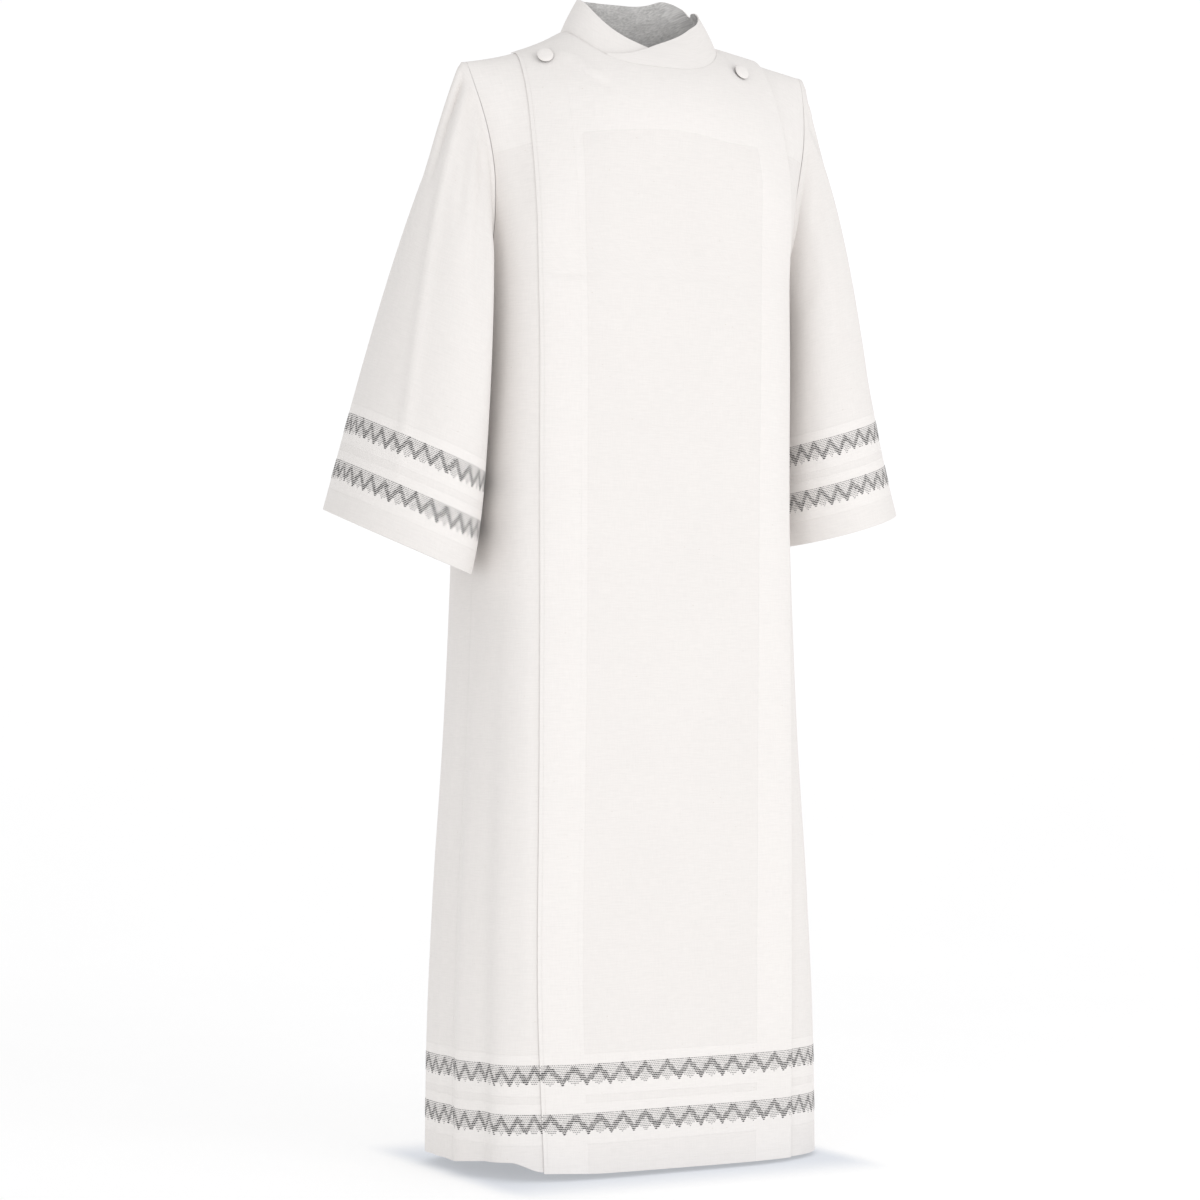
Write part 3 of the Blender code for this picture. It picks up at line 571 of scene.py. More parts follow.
class ClothPiece:
    """A grid of points on one piece of cloth, with its normals and flat measures."""

    def __init__(self, name, grid, normals, closed=False, raised=0.0):
        self.name = name
        self.grid = np.array(grid, dtype=float)
        self.normals = unit(normals)
        self.closed = closed
        steps = np.linalg.norm(np.diff(self.grid, axis=0), axis=2)
        down = np.concatenate([np.zeros((1, steps.shape[1])), np.cumsum(steps, axis=0)])
        self.above_hem = down[-1:] - down + raised
        ring = close_ring(self.grid) if closed else self.grid
        wide = np.linalg.norm(np.diff(ring, axis=1), axis=2)
        self.across = np.concatenate([np.zeros((len(wide), 1)), np.cumsum(wide, axis=1)], axis=1)
        self.doubled = np.full(self.grid.shape[:2], -1.0)
        self.thickness = np.full(self.grid.shape[1], CLOTH)

    def wall(self, materials, band_shift=0.0):
        """Makes the cloth wall, half its thickness on each side, with its measures as UVs."""
        rows, columns = self.grid.shape[:2]
        spans = columns if self.closed else columns - 1
        last, end = rows - 1, columns - 1
        cells = []      # each corner is a row, a column, and 0 outside or 1 inside
        for i in range(last):
            for j in range(spans):
                cells.append(((i, j, 0), (i + 1, j, 0), (i + 1, j + 1, 0), (i, j + 1, 0)))
                cells.append(((i, j, 1), (i, j + 1, 1), (i + 1, j + 1, 1), (i + 1, j, 1)))
        slots = [0, len(materials) - 1] * (len(cells) // 2)
        for j in range(spans):
            cells.append(((0, j, 0), (0, j + 1, 0), (0, j + 1, 1), (0, j, 1)))
            cells.append(((last, j + 1, 0), (last, j, 0), (last, j, 1), (last, j + 1, 1)))
        if not self.closed:
            for i in range(last):
                cells.append(((i + 1, 0, 0), (i, 0, 0), (i, 0, 1), (i + 1, 0, 1)))
                cells.append(((i, end, 0), (i + 1, end, 0), (i + 1, end, 1), (i, end, 1)))
        slots += [0] * (len(cells) - len(slots))
        cells = np.array(cells)
        half = self.normals * self.thickness[None, :, None] / 2
        vertices = np.concatenate([(self.grid + way * half).reshape(-1, 3) for way in (1, -1)])
        faces = (cells[..., 2] * rows + cells[..., 0]) * columns + cells[..., 1] % columns
        a, b, c, d = (vertices[faces[:, i]] for i in range(4))
        if np.sum(a * np.cross(b, c)) + np.sum(a * np.cross(c, d)) < 0:
            faces, cells = faces[:, ::-1], cells[:, ::-1]
        mesh = bpy.data.meshes.new(self.name + "_cloth")
        mesh.from_pydata(vertices.tolist(), [], faces.tolist())
        row, column = cells[..., 0].ravel(), cells[..., 1].ravel()
        above = self.above_hem[row, column % columns] + band_shift
        uvs = np.stack([self.across[row, column], above], axis=1)
        layer = mesh.uv_layers.new(name="cloth")
        layer.data.foreach_set("uv", uvs.ravel())
        doubled = mesh.attributes.new("doubled", "FLOAT", "POINT")
        doubled.data.foreach_set("value", np.concatenate([self.doubled.ravel()] * 2))
        for item in materials:
            mesh.materials.append(item)
        mesh.polygons.foreach_set("material_index", slots)
        mesh.shade_smooth()
        mesh.set_sharp_from_angle(angle=math.radians(50))
        return put_in_scene(self.name + "_cloth", mesh)

    def level_line(self, above):
        """Points and normals of the line that runs at one height above the hem."""
        heights = self.above_hem[::-1]
        columns = range(self.grid.shape[1])
        points, normals = (
            np.array([read_along(above, heights[:, j], values[::-1, j]) for j in columns])
            for values in (self.grid, self.normals))
        if self.closed:
            points = np.concatenate([points, points[:1]])
            normals = np.concatenate([normals, normals[:1]])
        return points, unit(normals)


def seam_gap(sign, row, places):
    """Half of the seam's gap, at the shoulder line and the side seams."""
    at_side = (np.abs(places) > 1 - 1e-9) & (row >= ARM_ROWS)
    at_shoulder = (np.abs(places) * SHOULDER_HALF >= NECK_HALF - 1e-9) & (row == 0)
    gap = np.zeros((len(places), 3))
    gap[at_side | at_shoulder, 1] = sign * SEAM / 2
    return gap


def lay_out(face, columns_of, lift_of, layers_of=None):
    """Reads a piece's grid from a face: its places, hem lift and layers on every row."""
    grid, normals = [], []
    for row in face.rows:
        places = columns_of(row)
        points, outward, across = face.read(row, places)
        points[:, 2] += lift_of(places) * max(row - ROWS + 1, 0.0) ** LIFT_POWER
        points += seam_gap(face.sign, row, places)
        if layers_of is not None:
            heights, turns = layers_of(row)
            points = points + outward * heights[:, None]
            outward = unit(outward * np.cos(turns)[:, None] + across * np.sin(turns)[:, None])
        grid.append(points)
        normals.append(outward)
    return np.array(grid), np.array(normals)


def cut_back():
    """The back: one piece from side to side."""
    places = BACK_FACE.places
    grid, normals = lay_out(BACK_FACE, lambda row: places, HEM_LIFT["back"])
    piece = ClothPiece("back", grid, normals, raised=HEM_LIFT["back"](places))
    piece.doubled = grid[..., 2] - YOKE(grid[..., 0])
    return piece


def inner_stop(row):
    """Place where the under front ends, short of the pleat."""
    return FRONT_FACE.place_of(row, PLEAT_EDGE(FRONT_FACE.edge(row, 1)[0]) - INNER_STOP)


def cut_front_inner():
    """The under front: from the wearer's right side seam across to the other shoulder."""
    neck = neck_places(25)
    left = np.linspace(NECK_PLACE, 1.0, 41)[1:]
    first_stop = inner_stop(0)

    def columns(row):
        stop = inner_stop(row)
        right = neck[1:] * stop / first_stop
        rest = np.linspace(right[-1], stop, 9)[1:]
        return np.concatenate([-left[::-1], -neck[::-1], right, rest])

    grid, normals = lay_out(FRONT_FACE, columns, HEM_LIFT["front_inner"])
    piece = ClothPiece("front_inner", grid, normals, raised=HEM_LIFT["front_inner"](columns(ROWS)))
    piece.doubled = grid[..., 2] - YOKE(grid[..., 0])
    return piece


def free_place(row):
    """Place of the flat panel's free edge."""
    return FRONT_FACE.place_of(row, FREE_EDGE(FRONT_FACE.edge(row, -1)[0]))


def panel_height(place):
    """Height of the flat panel off the body: two layers at the pleat, closer at its free edge."""
    return LAYER * (2 - PANEL_SINK * ease((-place - SINK_START) / SINK_REACH))


def fold_over(row, x, way, start):
    """Places, heights and turns of the cloth round one fold of the pleat."""
    radius = LAYER / 2
    return [(FRONT_FACE.place_of(row, x + way * radius * math.sin(turn)),
             start + radius * (1 - math.cos(turn)),
             turn if way < 0 else math.pi - turn)
            for turn in np.linspace(0, math.pi, 9)[1:]]


def outer_stations(row):
    """Places, layer heights and turns of the over front: side part, knife pleat and flat panel."""
    z = FRONT_FACE.edge(row, 1)[0]
    fold_x = float(PLEAT_EDGE(z))
    tuck_x = fold_x - PLEAT_DEPTH
    fold, tuck = (FRONT_FACE.place_of(row, x) for x in (fold_x, tuck_x))
    stations = [(p, 0.0, 0.0) for p in np.linspace(1.0, fold, 25)]
    stations += [(p, 0.0, 0.0) for p in np.linspace(fold, tuck, 7)[1:]]
    stations += fold_over(row, tuck_x, -1, 0.0)
    stations += [(p, LAYER, math.pi) for p in np.linspace(tuck, fold, 7)[1:]]
    stations += fold_over(row, fold_x, 1, LAYER)
    stations += [(p, 2 * LAYER, 0.0) for p in np.linspace(fold, tuck, 8)[1:]]
    free = free_place(row)
    neck = neck_places(25)
    right = neck[::-1] * tuck / FIRST_TUCK
    left = neck[1:] * free / FIRST_FREE
    panel = np.concatenate([np.linspace(tuck, right[0], 8)[1:], right[1:], left,
                            np.linspace(left[-1], free, 17)[1:]])
    stations += [(p, float(panel_height(p)), 0.0) for p in panel]
    return np.array(stations)


FIRST_FREE = -free_place(0)
FIRST_TUCK = FRONT_FACE.place_of(0, float(PLEAT_EDGE(0.0)) - PLEAT_DEPTH)


def cut_front_outer():
    """The over front: side part, knife pleat, and the flat panel to its free edge."""
    table = {row: outer_stations(row) for row in FRONT_FACE.rows}
    grid, normals = lay_out(
        FRONT_FACE,
        lambda row: table[row][:, 0],
        HEM_LIFT["front_outer"],
        lambda row: (table[row][:, 1], table[row][:, 2]),
    )
    raised = HEM_LIFT["front_outer"](table[ROWS][:, 0])
    piece = ClothPiece("front_outer", grid, normals, raised=raised)
    x, z = grid[..., 0], grid[..., 2]
    top_layer = int(np.argmax(table[0][:, 1] > 1.5 * LAYER))
    panel = np.maximum(FREE_EDGE(z) + FACING - x, x - PLEAT_EDGE(z) + FACING)
    panel[:, :top_layer] = -1.0
    piece.doubled = np.maximum(panel, z - YOKE(x))
    piece.panel_start = top_layer + 8
    piece.thickness[-EDGE_COLUMNS:] = CLOTH * np.linspace(1.0, EDGE_THIN, EDGE_COLUMNS)
    return piece


def armhole_ring(side, steps):
    """Points, normals and inward directions round an armhole, from the shoulder by the front."""
    points, normals, guides = [], [], []
    for j in np.arange(steps) * 2 * ARM_ROWS / steps:
        face, row = (FRONT_FACE, j) if j <= ARM_ROWS else (BACK_FACE, 2 * ARM_ROWS - j)
        here, outward, across = face.read(row, float(side))
        low = row / ARM_ROWS
        points.append(here[0])
        normals.append(outward[0])
        guides.append(side * across[0] * (1 - low) + np.array([0.0, 0.0, low]))
    points, normals = np.array(points), np.array(normals)
    along = np.roll(points, -1, axis=0) - np.roll(points, 1, axis=0)
    inward = unit(np.cross(normals, along))
    wrong = np.sum(inward * np.array(guides), axis=1) < 0
    inward[wrong] *= -1
    return points, normals, inward


def cut_sleeve(name, side, across_steps=140, down_steps=88):
    """A wide sleeve: from the armhole over its head and down to the cuff."""
    cuff = next(row for row in CUFFS if row[0] == side)
    x, y, z, half_x, half_y, rise_out, rise_back, fullness = cuff[1:]
    points, body_normals, inward = armhole_ring(side, across_steps)
    place = np.arange(across_steps) * 2 * ARM_ROWS / across_steps
    turn = 2 * math.pi * np.arange(across_steps) / across_steps
    over = (1 + np.cos(turn)) / 2
    stand = math.pi / 2 * (1 - over ** 2)
    leave = inward * np.cos(stand)[:, None] + body_normals * np.sin(stand)[:, None]
    first_normals = body_normals * np.cos(stand)[:, None] - inward * np.sin(stand)[:, None]
    seat = points + inward * (SEAM + CLOTH / 2 * np.sin(stand))[:, None]
    seat = seat + body_normals * ((SEAM + CLOTH / 2) * np.sin(stand))[:, None]
    start = seat + leave * HEAD_STEP
    axis = unit(np.array([side * rise_out, -rise_back, -1.0]))
    cuff_x = side * half_x * np.cos(turn)
    cuff_y = -half_y * np.sin(turn)
    rise = rise_out * side * cuff_x + rise_back * cuff_y
    end = np.array([side * x, y, z]) + np.stack([cuff_x, cuff_y, rise], axis=1)
    reach = np.linalg.norm(end - start, axis=1)[:, None]
    out = np.stack([side * np.cos(turn), -np.sin(turn), np.zeros(across_steps)], axis=1)
    bulge = SLEEVE_BULGE * np.abs(np.sin(turn)) ** BULGE_POWER + fullness * over
    first = start + axis * reach * HANDLE_TOP + out * bulge[:, None]
    second = end - axis * reach * HANDLE_CUFF
    rings = [seat, seat * 0.5 + start * 0.5]
    shares = np.linspace(0, 1, down_steps) ** ROW_SPREAD
    for t in shares:
        blend = ((1 - t) ** 3, 3 * t * (1 - t) ** 2, 3 * t * t * (1 - t), t ** 3)
        rings.append(blend[0] * start + blend[1] * first + blend[2] * second + blend[3] * end)
    grid = np.array(rings)
    normals = find_normals(grid, True) * side
    near = np.minimum(place, 2 * ARM_ROWS - place)[None, :]
    t = np.concatenate([[0, 0], shares])[:, None]
    girth = np.linalg.norm(np.diff(close_ring(grid), axis=1), axis=2).sum(axis=1)
    fade = np.clip(1 - t / (HEAD_PLEAT_LENGTH / SLEEVE_LENGTH), 0, 1) * ease(t / 0.02)
    push = HEAD_PLEAT * fade * np.cos(math.pi * (near - 1)) * ease(near) * ease(5 - near)
    for crease_side, j0, t0, j1, t1, width, height in SLEEVE_CREASES:
        if crease_side == side:
            share = (t - t0) / (t1 - t0)
            away = place[None, :] - (j0 + (j1 - j0) * share)
            away = (away + ARM_ROWS) % (2 * ARM_ROWS) - ARM_ROWS
            away = away * girth[:, None] / (2 * ARM_ROWS)
            ends = ease(share / CREASE_START) * ease((1 - share) / CREASE_END)
            push = push + height * ends * np.exp(-(away / width) ** 2)
    grid = grid + normals * push[..., None]
    normals = find_normals(grid, True) * side
    normals[0] = unit(first_normals)
    return ClothPiece(name, grid, normals, closed=True)


def collar_stations():
    """Face, place and layer height round the neckline, from the under end to the over end."""
    quarter = math.pi / 2
    tip = quarter * COLLAR_TIP_TURN
    runs = ((FRONT_FACE, np.linspace(tip, -quarter, 43), 0.0),
            (BACK_FACE, np.linspace(-quarter, quarter, 57)[1:-1], 0.0),
            (FRONT_FACE, np.linspace(quarter, -tip, 43), 2 * LAYER))
    return [(face, NECK_PLACE * math.sin(t), layer) for face, turns, layer in runs for t in turns]


def cut_collar(up_steps=10):
    """The stand collar: one band round the neck, its tapered ends crossing at the front."""
    edges, normals, heights = [], [], []
    tip = NECK_HALF * math.sin(math.pi / 2 * COLLAR_TIP_TURN)
    for face, place, layer in collar_stations():
        here, normal, _ = face.read(0, place)
        edges.append(here[0] + normal[0] * layer)
        normals.append(normal[0])
        x = place * SHOULDER_HALF
        if face is BACK_FACE:
            fall = COLLAR_FALL[1 if x > 0 else -1]
            rise = 1 - (abs(x) / NECK_HALF) ** fall
            height = COLLAR_SIDE + (COLLAR_BACK - COLLAR_SIDE) * rise
            dip_start, dip_reach = DIP_BACK
        else:
            taper = (tip + x) / COLLAR_TAPER_OVER if layer else (tip - x) / COLLAR_TAPER_UNDER
            over = float(np.clip(0.5 + (1 - taper) / (2 * RIM_ROUND), 0.0, 1.0))
            share = 1 + (taper - 1) * over - RIM_ROUND * over * (1 - over)
            height = COLLAR_END + (COLLAR_SIDE - COLLAR_END) * share
            dip_start, dip_reach = DIP_FRONT
        dip = ease((x / NECK_HALF - dip_start) / dip_reach)
        heights.append(height - COLLAR_DIP * float(dip))
    edges, normals, heights = np.array(edges), np.array(normals), np.array(heights)
    off = unit(np.cross(normals, np.gradient(edges, axis=0)))
    towards = np.stack([-edges[:, 0], -edges[:, 1], np.full(len(edges), NECK_HALF)], axis=1)
    off *= np.where(np.sum(off * towards, axis=1) > 0, 1, -1)[:, None]
    base = edges + off * SEAM
    inward = -unit(base * np.array([1.0, COLLAR_FLAT, 0.0]))
    forward = ease((1 - base[:, 1] / NECK_BACK) / COLLAR_LEAN_REACH)
    lean = COLLAR_LEAN_BACK + (COLLAR_LEAN - COLLAR_LEAN_BACK) * forward
    grid = []
    for t in np.linspace(1, 0, up_steps + 1):
        bow = COLLAR_BOW * math.sin(math.pi * t) * np.minimum(heights / COLLAR_SIDE, 1.0)
        rise = np.stack([0 * heights, 0 * heights, heights * t], axis=1)
        grid.append(base + rise + inward * (heights * t * lean - bow)[:, None])
    grid = np.array(grid)
    facing = find_normals(grid, False)
    if facing[1, 0, 1] > 0:
        facing = -facing
    facing[-1] = normals
    piece = ClothPiece("collar", grid, facing)
    piece.doubled = np.full(piece.doubled.shape, DOUBLED)
    return piece


PIECES = {}


def cut_cloth(name):
    """Works out one piece of cloth, once."""
    if name not in PIECES:
        if name.startswith("sleeve"):
            PIECES[name] = cut_sleeve(name, -1 if name == "sleeve_right" else 1)
        else:
            makers = {"back": cut_back, "front_inner": cut_front_inner,
                      "front_outer": cut_front_outer, "collar": cut_collar}
            PIECES[name] = makers[name]()
    return PIECES[name]


def button_seat(x, row):
    """Middle, outward and two level directions of a button that tilts on the over front."""
    place = FRONT_FACE.place_of(row, x)
    here, normal, across = (value[0] for value in FRONT_FACE.read(row, place))
    facing = unit(normal + np.array([0.0, -BUTTON_TILT, 0.0]))
    across = unit(across - facing * np.dot(across, facing))
    rise = SEAT_RADIUS * BUTTON_RADIUS * math.sin(math.acos(np.dot(normal, facing)))
    seat = here + normal * (panel_height(place) + CLOTH / 2 + SEAM + rise)
    return seat, facing, across, np.cross(facing, across)


def button_mesh(name, x, row, sides=48):
    """A button core covered with cloth: a soft dome, gathered and painted dark as shade under its
    rim.
    """
    seat, normal, across, other = button_seat(x, row)
    profile = [(0.0, 0.0), (0.55, 0.0), (0.80, 0.0), (0.93, 0.09), (0.985, 0.22), (1.0, 0.38)]
    profile += [(math.cos(t) ** DOME_POWER, DOME_START + DOME_RISE * math.sin(t))
                for t in np.linspace(0.12, 1.45, 11)]
    profile += [(0.0, 1.0)]
    vertices, faces, under = [], [], []
    for radius, height in profile[1:-1]:
        for k in range(sides):
            turn = 2 * math.pi * k / sides
            gather = 1 - GATHER_DEPTH * math.cos(GATHERS * turn) * (1 - height) ** 2
            flat = across * math.cos(turn) + other * math.sin(turn)
            out = flat * radius * gather * BUTTON_RADIUS
            vertices.append(seat + out + normal * height * BUTTON_HEIGHT)
    rings = len(profile) - 2
    for i in range(rings - 1):
        for k in range(sides):
            m = (k + 1) % sides
            faces.append((i * sides + k, i * sides + m, (i + 1) * sides + m, (i + 1) * sides + k))
            under.append(int(i < BUTTON_UNDER))
    bottom = len(vertices)
    vertices += [seat, seat + normal * BUTTON_HEIGHT]
    last = (rings - 1) * sides
    for k in range(sides):
        m = (k + 1) % sides
        faces.append((bottom, m, k))
        faces.append((bottom + 1, last + k, last + m))
        under += [1, 0]
    mesh = bpy.data.meshes.new(name)
    mesh.from_pydata([tuple(v) for v in vertices], [], faces)
    if np.dot(np.cross(across, other), normal) < 0:
        mesh.flip_normals()
    layer = mesh.uv_layers.new(name="cloth")
    for loop in mesh.loops:
        away = np.array(mesh.vertices[loop.vertex_index].co) - seat
        layer.data[loop.index].uv = (float(np.dot(away, across)), float(np.dot(away, other)))
    doubled = mesh.attributes.new("doubled", "FLOAT", "POINT")
    doubled.data.foreach_set("value", [DOUBLED] * len(vertices))
    mesh.materials.append(material("White button cloth"))
    # The second material is painted shade, on the faces under the rim and on the bottom.
    mesh.materials.append(material("Button underside"))
    mesh.polygons.foreach_set("material_index", under)
    mesh.shade_smooth()
    return put_in_scene(name, mesh)


def socket(tree, name, in_out, kind, default=None, subtype=None):
    """Adds one input or output to a node group."""
    item = tree.interface.new_socket(name=name, in_out=in_out, socket_type=kind)
    if subtype:
        item.subtype = subtype
    if default is not None:
        item.default_value = default


class Nodes:
    """Short calls for placing and joining the nodes of one tree."""

    def __init__(self, tree):
        self.tree = tree
        self.count = 0

    def add(self, kind, values=None, **inputs):
        node = self.tree.nodes.new(kind)
        node.location = (220 * (self.count % 8), -260 * (self.count // 8))
        self.count += 1
        for key, value in (values or {}).items():
            setattr(node, key, value)
        for key, value in inputs.items():
            by_number = key[0] == "i" and key[1:].isdigit()
            self.put(node.inputs[int(key[1:]) if by_number else key], value)
        return node

    def put(self, place, value):
        if isinstance(value, bpy.types.NodeSocket):
            self.tree.links.new(value, place)
        else:
            place.default_value = value

    def fill(self, node, values):
        """Sets or joins a node's inputs by their names."""
        for name, value in values.items():
            self.put(node.inputs[name], value)

    def math(self, operation, *values, clamp=False):
        node = self.add("ShaderNodeMath", {"operation": operation, "use_clamp": clamp})
        for place, value in zip(node.inputs, values):
            self.put(place, value)
        return node.outputs[0]

    def ramp(self, value, low, high):
        """Goes smoothly from 0 at low to 1 at high."""
        kind = {"interpolation_type": "SMOOTHSTEP"}
        return self.add("ShaderNodeMapRange", kind, i0=value, i1=low, i2=high).outputs[0]

    def mix(self, share, first, second, blend="MIX"):
        kind = {"data_type": "RGBA", "blend_type": blend}
        return self.add("ShaderNodeMix", kind, i0=share, i6=first, i7=second).outputs[2]

    def shaded(self, color, tone):
        """A colour made lighter or darker by a tone."""
        grey = self.add("ShaderNodeCombineColor", None, i0=tone, i1=tone, i2=tone)
        return self.mix(1.0, color, grey.outputs[0], "MULTIPLY")

    def scaled(self, vector, across, up):
        """The cloth's own measures, scaled along each of its threads."""
        kind = {"operation": "MULTIPLY"}
        return self.add("ShaderNodeVectorMath", kind, i0=vector, i1=(across, up, 1.0)).outputs[0]

    def stretched_noise(self, vector, across, up, detail=2.0):
        """Noise of the cloth's own measures, stretched along one of its threads."""
        scaled = self.scaled(vector, across, up)
        noise = self.add("ShaderNodeTexNoise", None, Vector=scaled, Scale=1.0, Detail=detail)
        return noise.outputs["Fac"]


def weave_group():
    """Node group of the cloth: threads, slubs, flecks, and the tone of single and doubled cloth,
    single darker as painted shade.
    """
    name = "Linen-look weave"
    if name in bpy.data.node_groups:
        return bpy.data.node_groups[name]
    tree = bpy.data.node_groups.new(name, "ShaderNodeTree")
    socket(tree, "Doubled cloth", "INPUT", "NodeSocketColor", (0.8, 0.8, 0.8, 1.0))
    socket(tree, "Single cloth", "INPUT", "NodeSocketColor", (0.75, 0.75, 0.75, 1.0))
    socket(tree, "Thread spacing", "INPUT", "NodeSocketFloat", 0.0006, "DISTANCE")
    socket(tree, "Slub tone", "INPUT", "NodeSocketFloat", 0.17)
    socket(tree, "Relief", "INPUT", "NodeSocketFloat", 0.0001, "DISTANCE")
    socket(tree, "Color", "OUTPUT", "NodeSocketColor")
    socket(tree, "Roughness", "OUTPUT", "NodeSocketFloat")
    socket(tree, "Normal", "OUTPUT", "NodeSocketVector")
    n = Nodes(tree)
    given = n.add("NodeGroupInput")
    out = n.add("NodeGroupOutput")
    uv = n.add("ShaderNodeUVMap", {"uv_map": "cloth"}).outputs[0]
    parts = n.add("ShaderNodeSeparateXYZ", None, i0=uv)
    turn = n.math("DIVIDE", math.tau, given.outputs["Thread spacing"])
    warp = n.math("SINE", n.math("MULTIPLY", parts.outputs[0], turn))
    weft = n.math("SINE", n.math("MULTIPLY", parts.outputs[1], turn))
    weave = n.math("MULTIPLY", warp, weft)
    slub, upright, broad, streaks = (n.stretched_noise(uv, *sizes) for sizes in WEAVE_NOISES)
    threads = n.math("MULTIPLY_ADD", slub, 0.6, n.math("MULTIPLY", upright, 0.4))
    tone = 1.0
    for noise, strength in ((threads, given.outputs["Slub tone"]), (streaks, 0.02), (broad, 0.03)):
        tone = n.math("MULTIPLY_ADD", n.math("SUBTRACT", noise, 0.5), strength, tone)
    doubled = n.add("ShaderNodeAttribute", {"attribute_name": "doubled"}).outputs["Fac"]
    for low, high in HEM_BANDS:
        away = n.math("ABSOLUTE", n.math("SUBTRACT", parts.outputs[1], (low + high) / 2))
        inside = n.math("SUBTRACT", (high - low) / 2 + BAND_MARGIN, away)
        doubled = n.math("MAXIMUM", doubled, inside)
    double_mask = n.ramp(doubled, -EDGE_SOFT, EDGE_SOFT)
    beside_mask = n.math("SUBTRACT", 1.0, double_mask)
    # A thin painted shade line on the single cloth just beside each doubled part's edge.
    edge_painted_shade = n.math("MULTIPLY", n.ramp(doubled, -EDGE_SHADE, 0.0), beside_mask)
    tone = n.math("MULTIPLY_ADD", edge_painted_shade, -0.018, tone)
    # Single cloth is darker than doubled cloth as painted shade, the dark inside showing through
    # one layer.
    base = n.mix(double_mask, given.outputs["Single cloth"], given.outputs["Doubled cloth"])
    base = n.shaded(base, tone)
    cells = n.scaled(uv, 95.0, 260.0)
    fleck = n.add("ShaderNodeTexVoronoi", {"feature": "F1"}, Vector=cells, Scale=1.0)
    chosen = n.add("ShaderNodeSeparateColor", None, i0=fleck.outputs["Color"])
    near = n.math("SUBTRACT", 1.0, n.ramp(fleck.outputs["Distance"], 0.03, 0.16))
    fleck_mask = n.math("MULTIPLY", near, n.ramp(chosen.outputs[0], 0.93, 0.99))
    base = n.mix(n.math("MULTIPLY", fleck_mask, FLECK_SHARE), base, FLECK_COLOR)
    height = n.math("MULTIPLY_ADD", weave, 0.25, n.math("MULTIPLY", threads, 1.6))
    height = n.math("MULTIPLY_ADD", double_mask, 2.2, height)
    relief = given.outputs["Relief"]
    bump = n.add("ShaderNodeBump", None, Strength=1.0, Distance=relief, Height=height)
    rough = n.math("MULTIPLY_ADD", threads, 0.10, 0.80, clamp=True)
    n.fill(out, {"Color": base, "Roughness": rough, "Normal": bump.outputs[0]})
    return tree


def new_material(name):
    """Starts a material, and returns its node calls and its shader."""
    made = bpy.data.materials.new(name)
    made.use_nodes = True
    shader = next(x for x in made.node_tree.nodes if x.type == "BSDF_PRINCIPLED")
    return Nodes(made.node_tree), shader


def cloth_material(name, doubled, single, relief=0.0001):
    """Woven cloth in two tones, the single one darker as painted shade, with a soft sheen."""
    n, shader = new_material(name)
    weave = n.add("ShaderNodeGroup", {"node_tree": weave_group()})
    n.fill(weave, {"Doubled cloth": doubled, "Single cloth": single, "Relief": relief})
    n.fill(shader, {title: weave.outputs[made] for title, made in (
        ("Base Color", "Color"), ("Roughness", "Roughness"), ("Normal", "Normal"))})
    n.fill(shader, {"Specular IOR Level": 0.25, "Sheen Weight": 0.12, "Sheen Roughness": 0.45})


def mottled_shade_material(name, color):
    """Grey and mottled, painted as shade: for the inside of the collar and the underside of a
    button.
    """
    n, shader = new_material(name)
    uv = n.add("ShaderNodeUVMap", {"uv_map": "cloth"}).outputs[0]
    spots = n.stretched_noise(uv, 240.0, 420.0, 4.0)
    clouds = n.stretched_noise(uv, 60.0, 90.0, 2.0)
    tone = n.math("MULTIPLY_ADD", spots, 0.9, n.math("MULTIPLY_ADD", clouds, 0.5, 0.3))
    bump = n.add("ShaderNodeBump", None, Strength=1.0, Distance=0.0003, Height=spots)
    n.fill(shader, {"Base Color": n.shaded(color, tone), "Normal": bump.outputs[0],
                    "Roughness": 0.92, "Specular IOR Level": 0.15})


def thread_material(name, bold, fine):
    """Stitching thread in two greys, chosen by each stitch's tone, with a twisted look."""
    n, shader = new_material(name)
    tone = n.add("ShaderNodeAttribute", {"attribute_name": "tone"}).outputs["Fac"]
    place = n.add("ShaderNodeTexCoord").outputs["Object"]
    noise = n.add("ShaderNodeTexNoise", None, Vector=place, Scale=900.0, Detail=2.0).outputs["Fac"]
    worn = n.math("MULTIPLY_ADD", noise, 0.5, 0.75)
    bump = n.add("ShaderNodeBump", None, Strength=0.6, Distance=0.0001, Height=noise)
    color = n.shaded(n.mix(tone, fine, bold), worn)
    n.fill(shader, {"Base Color": color, "Normal": bump.outputs[0], "Roughness": 0.62,
                    "Specular IOR Level": 0.35})


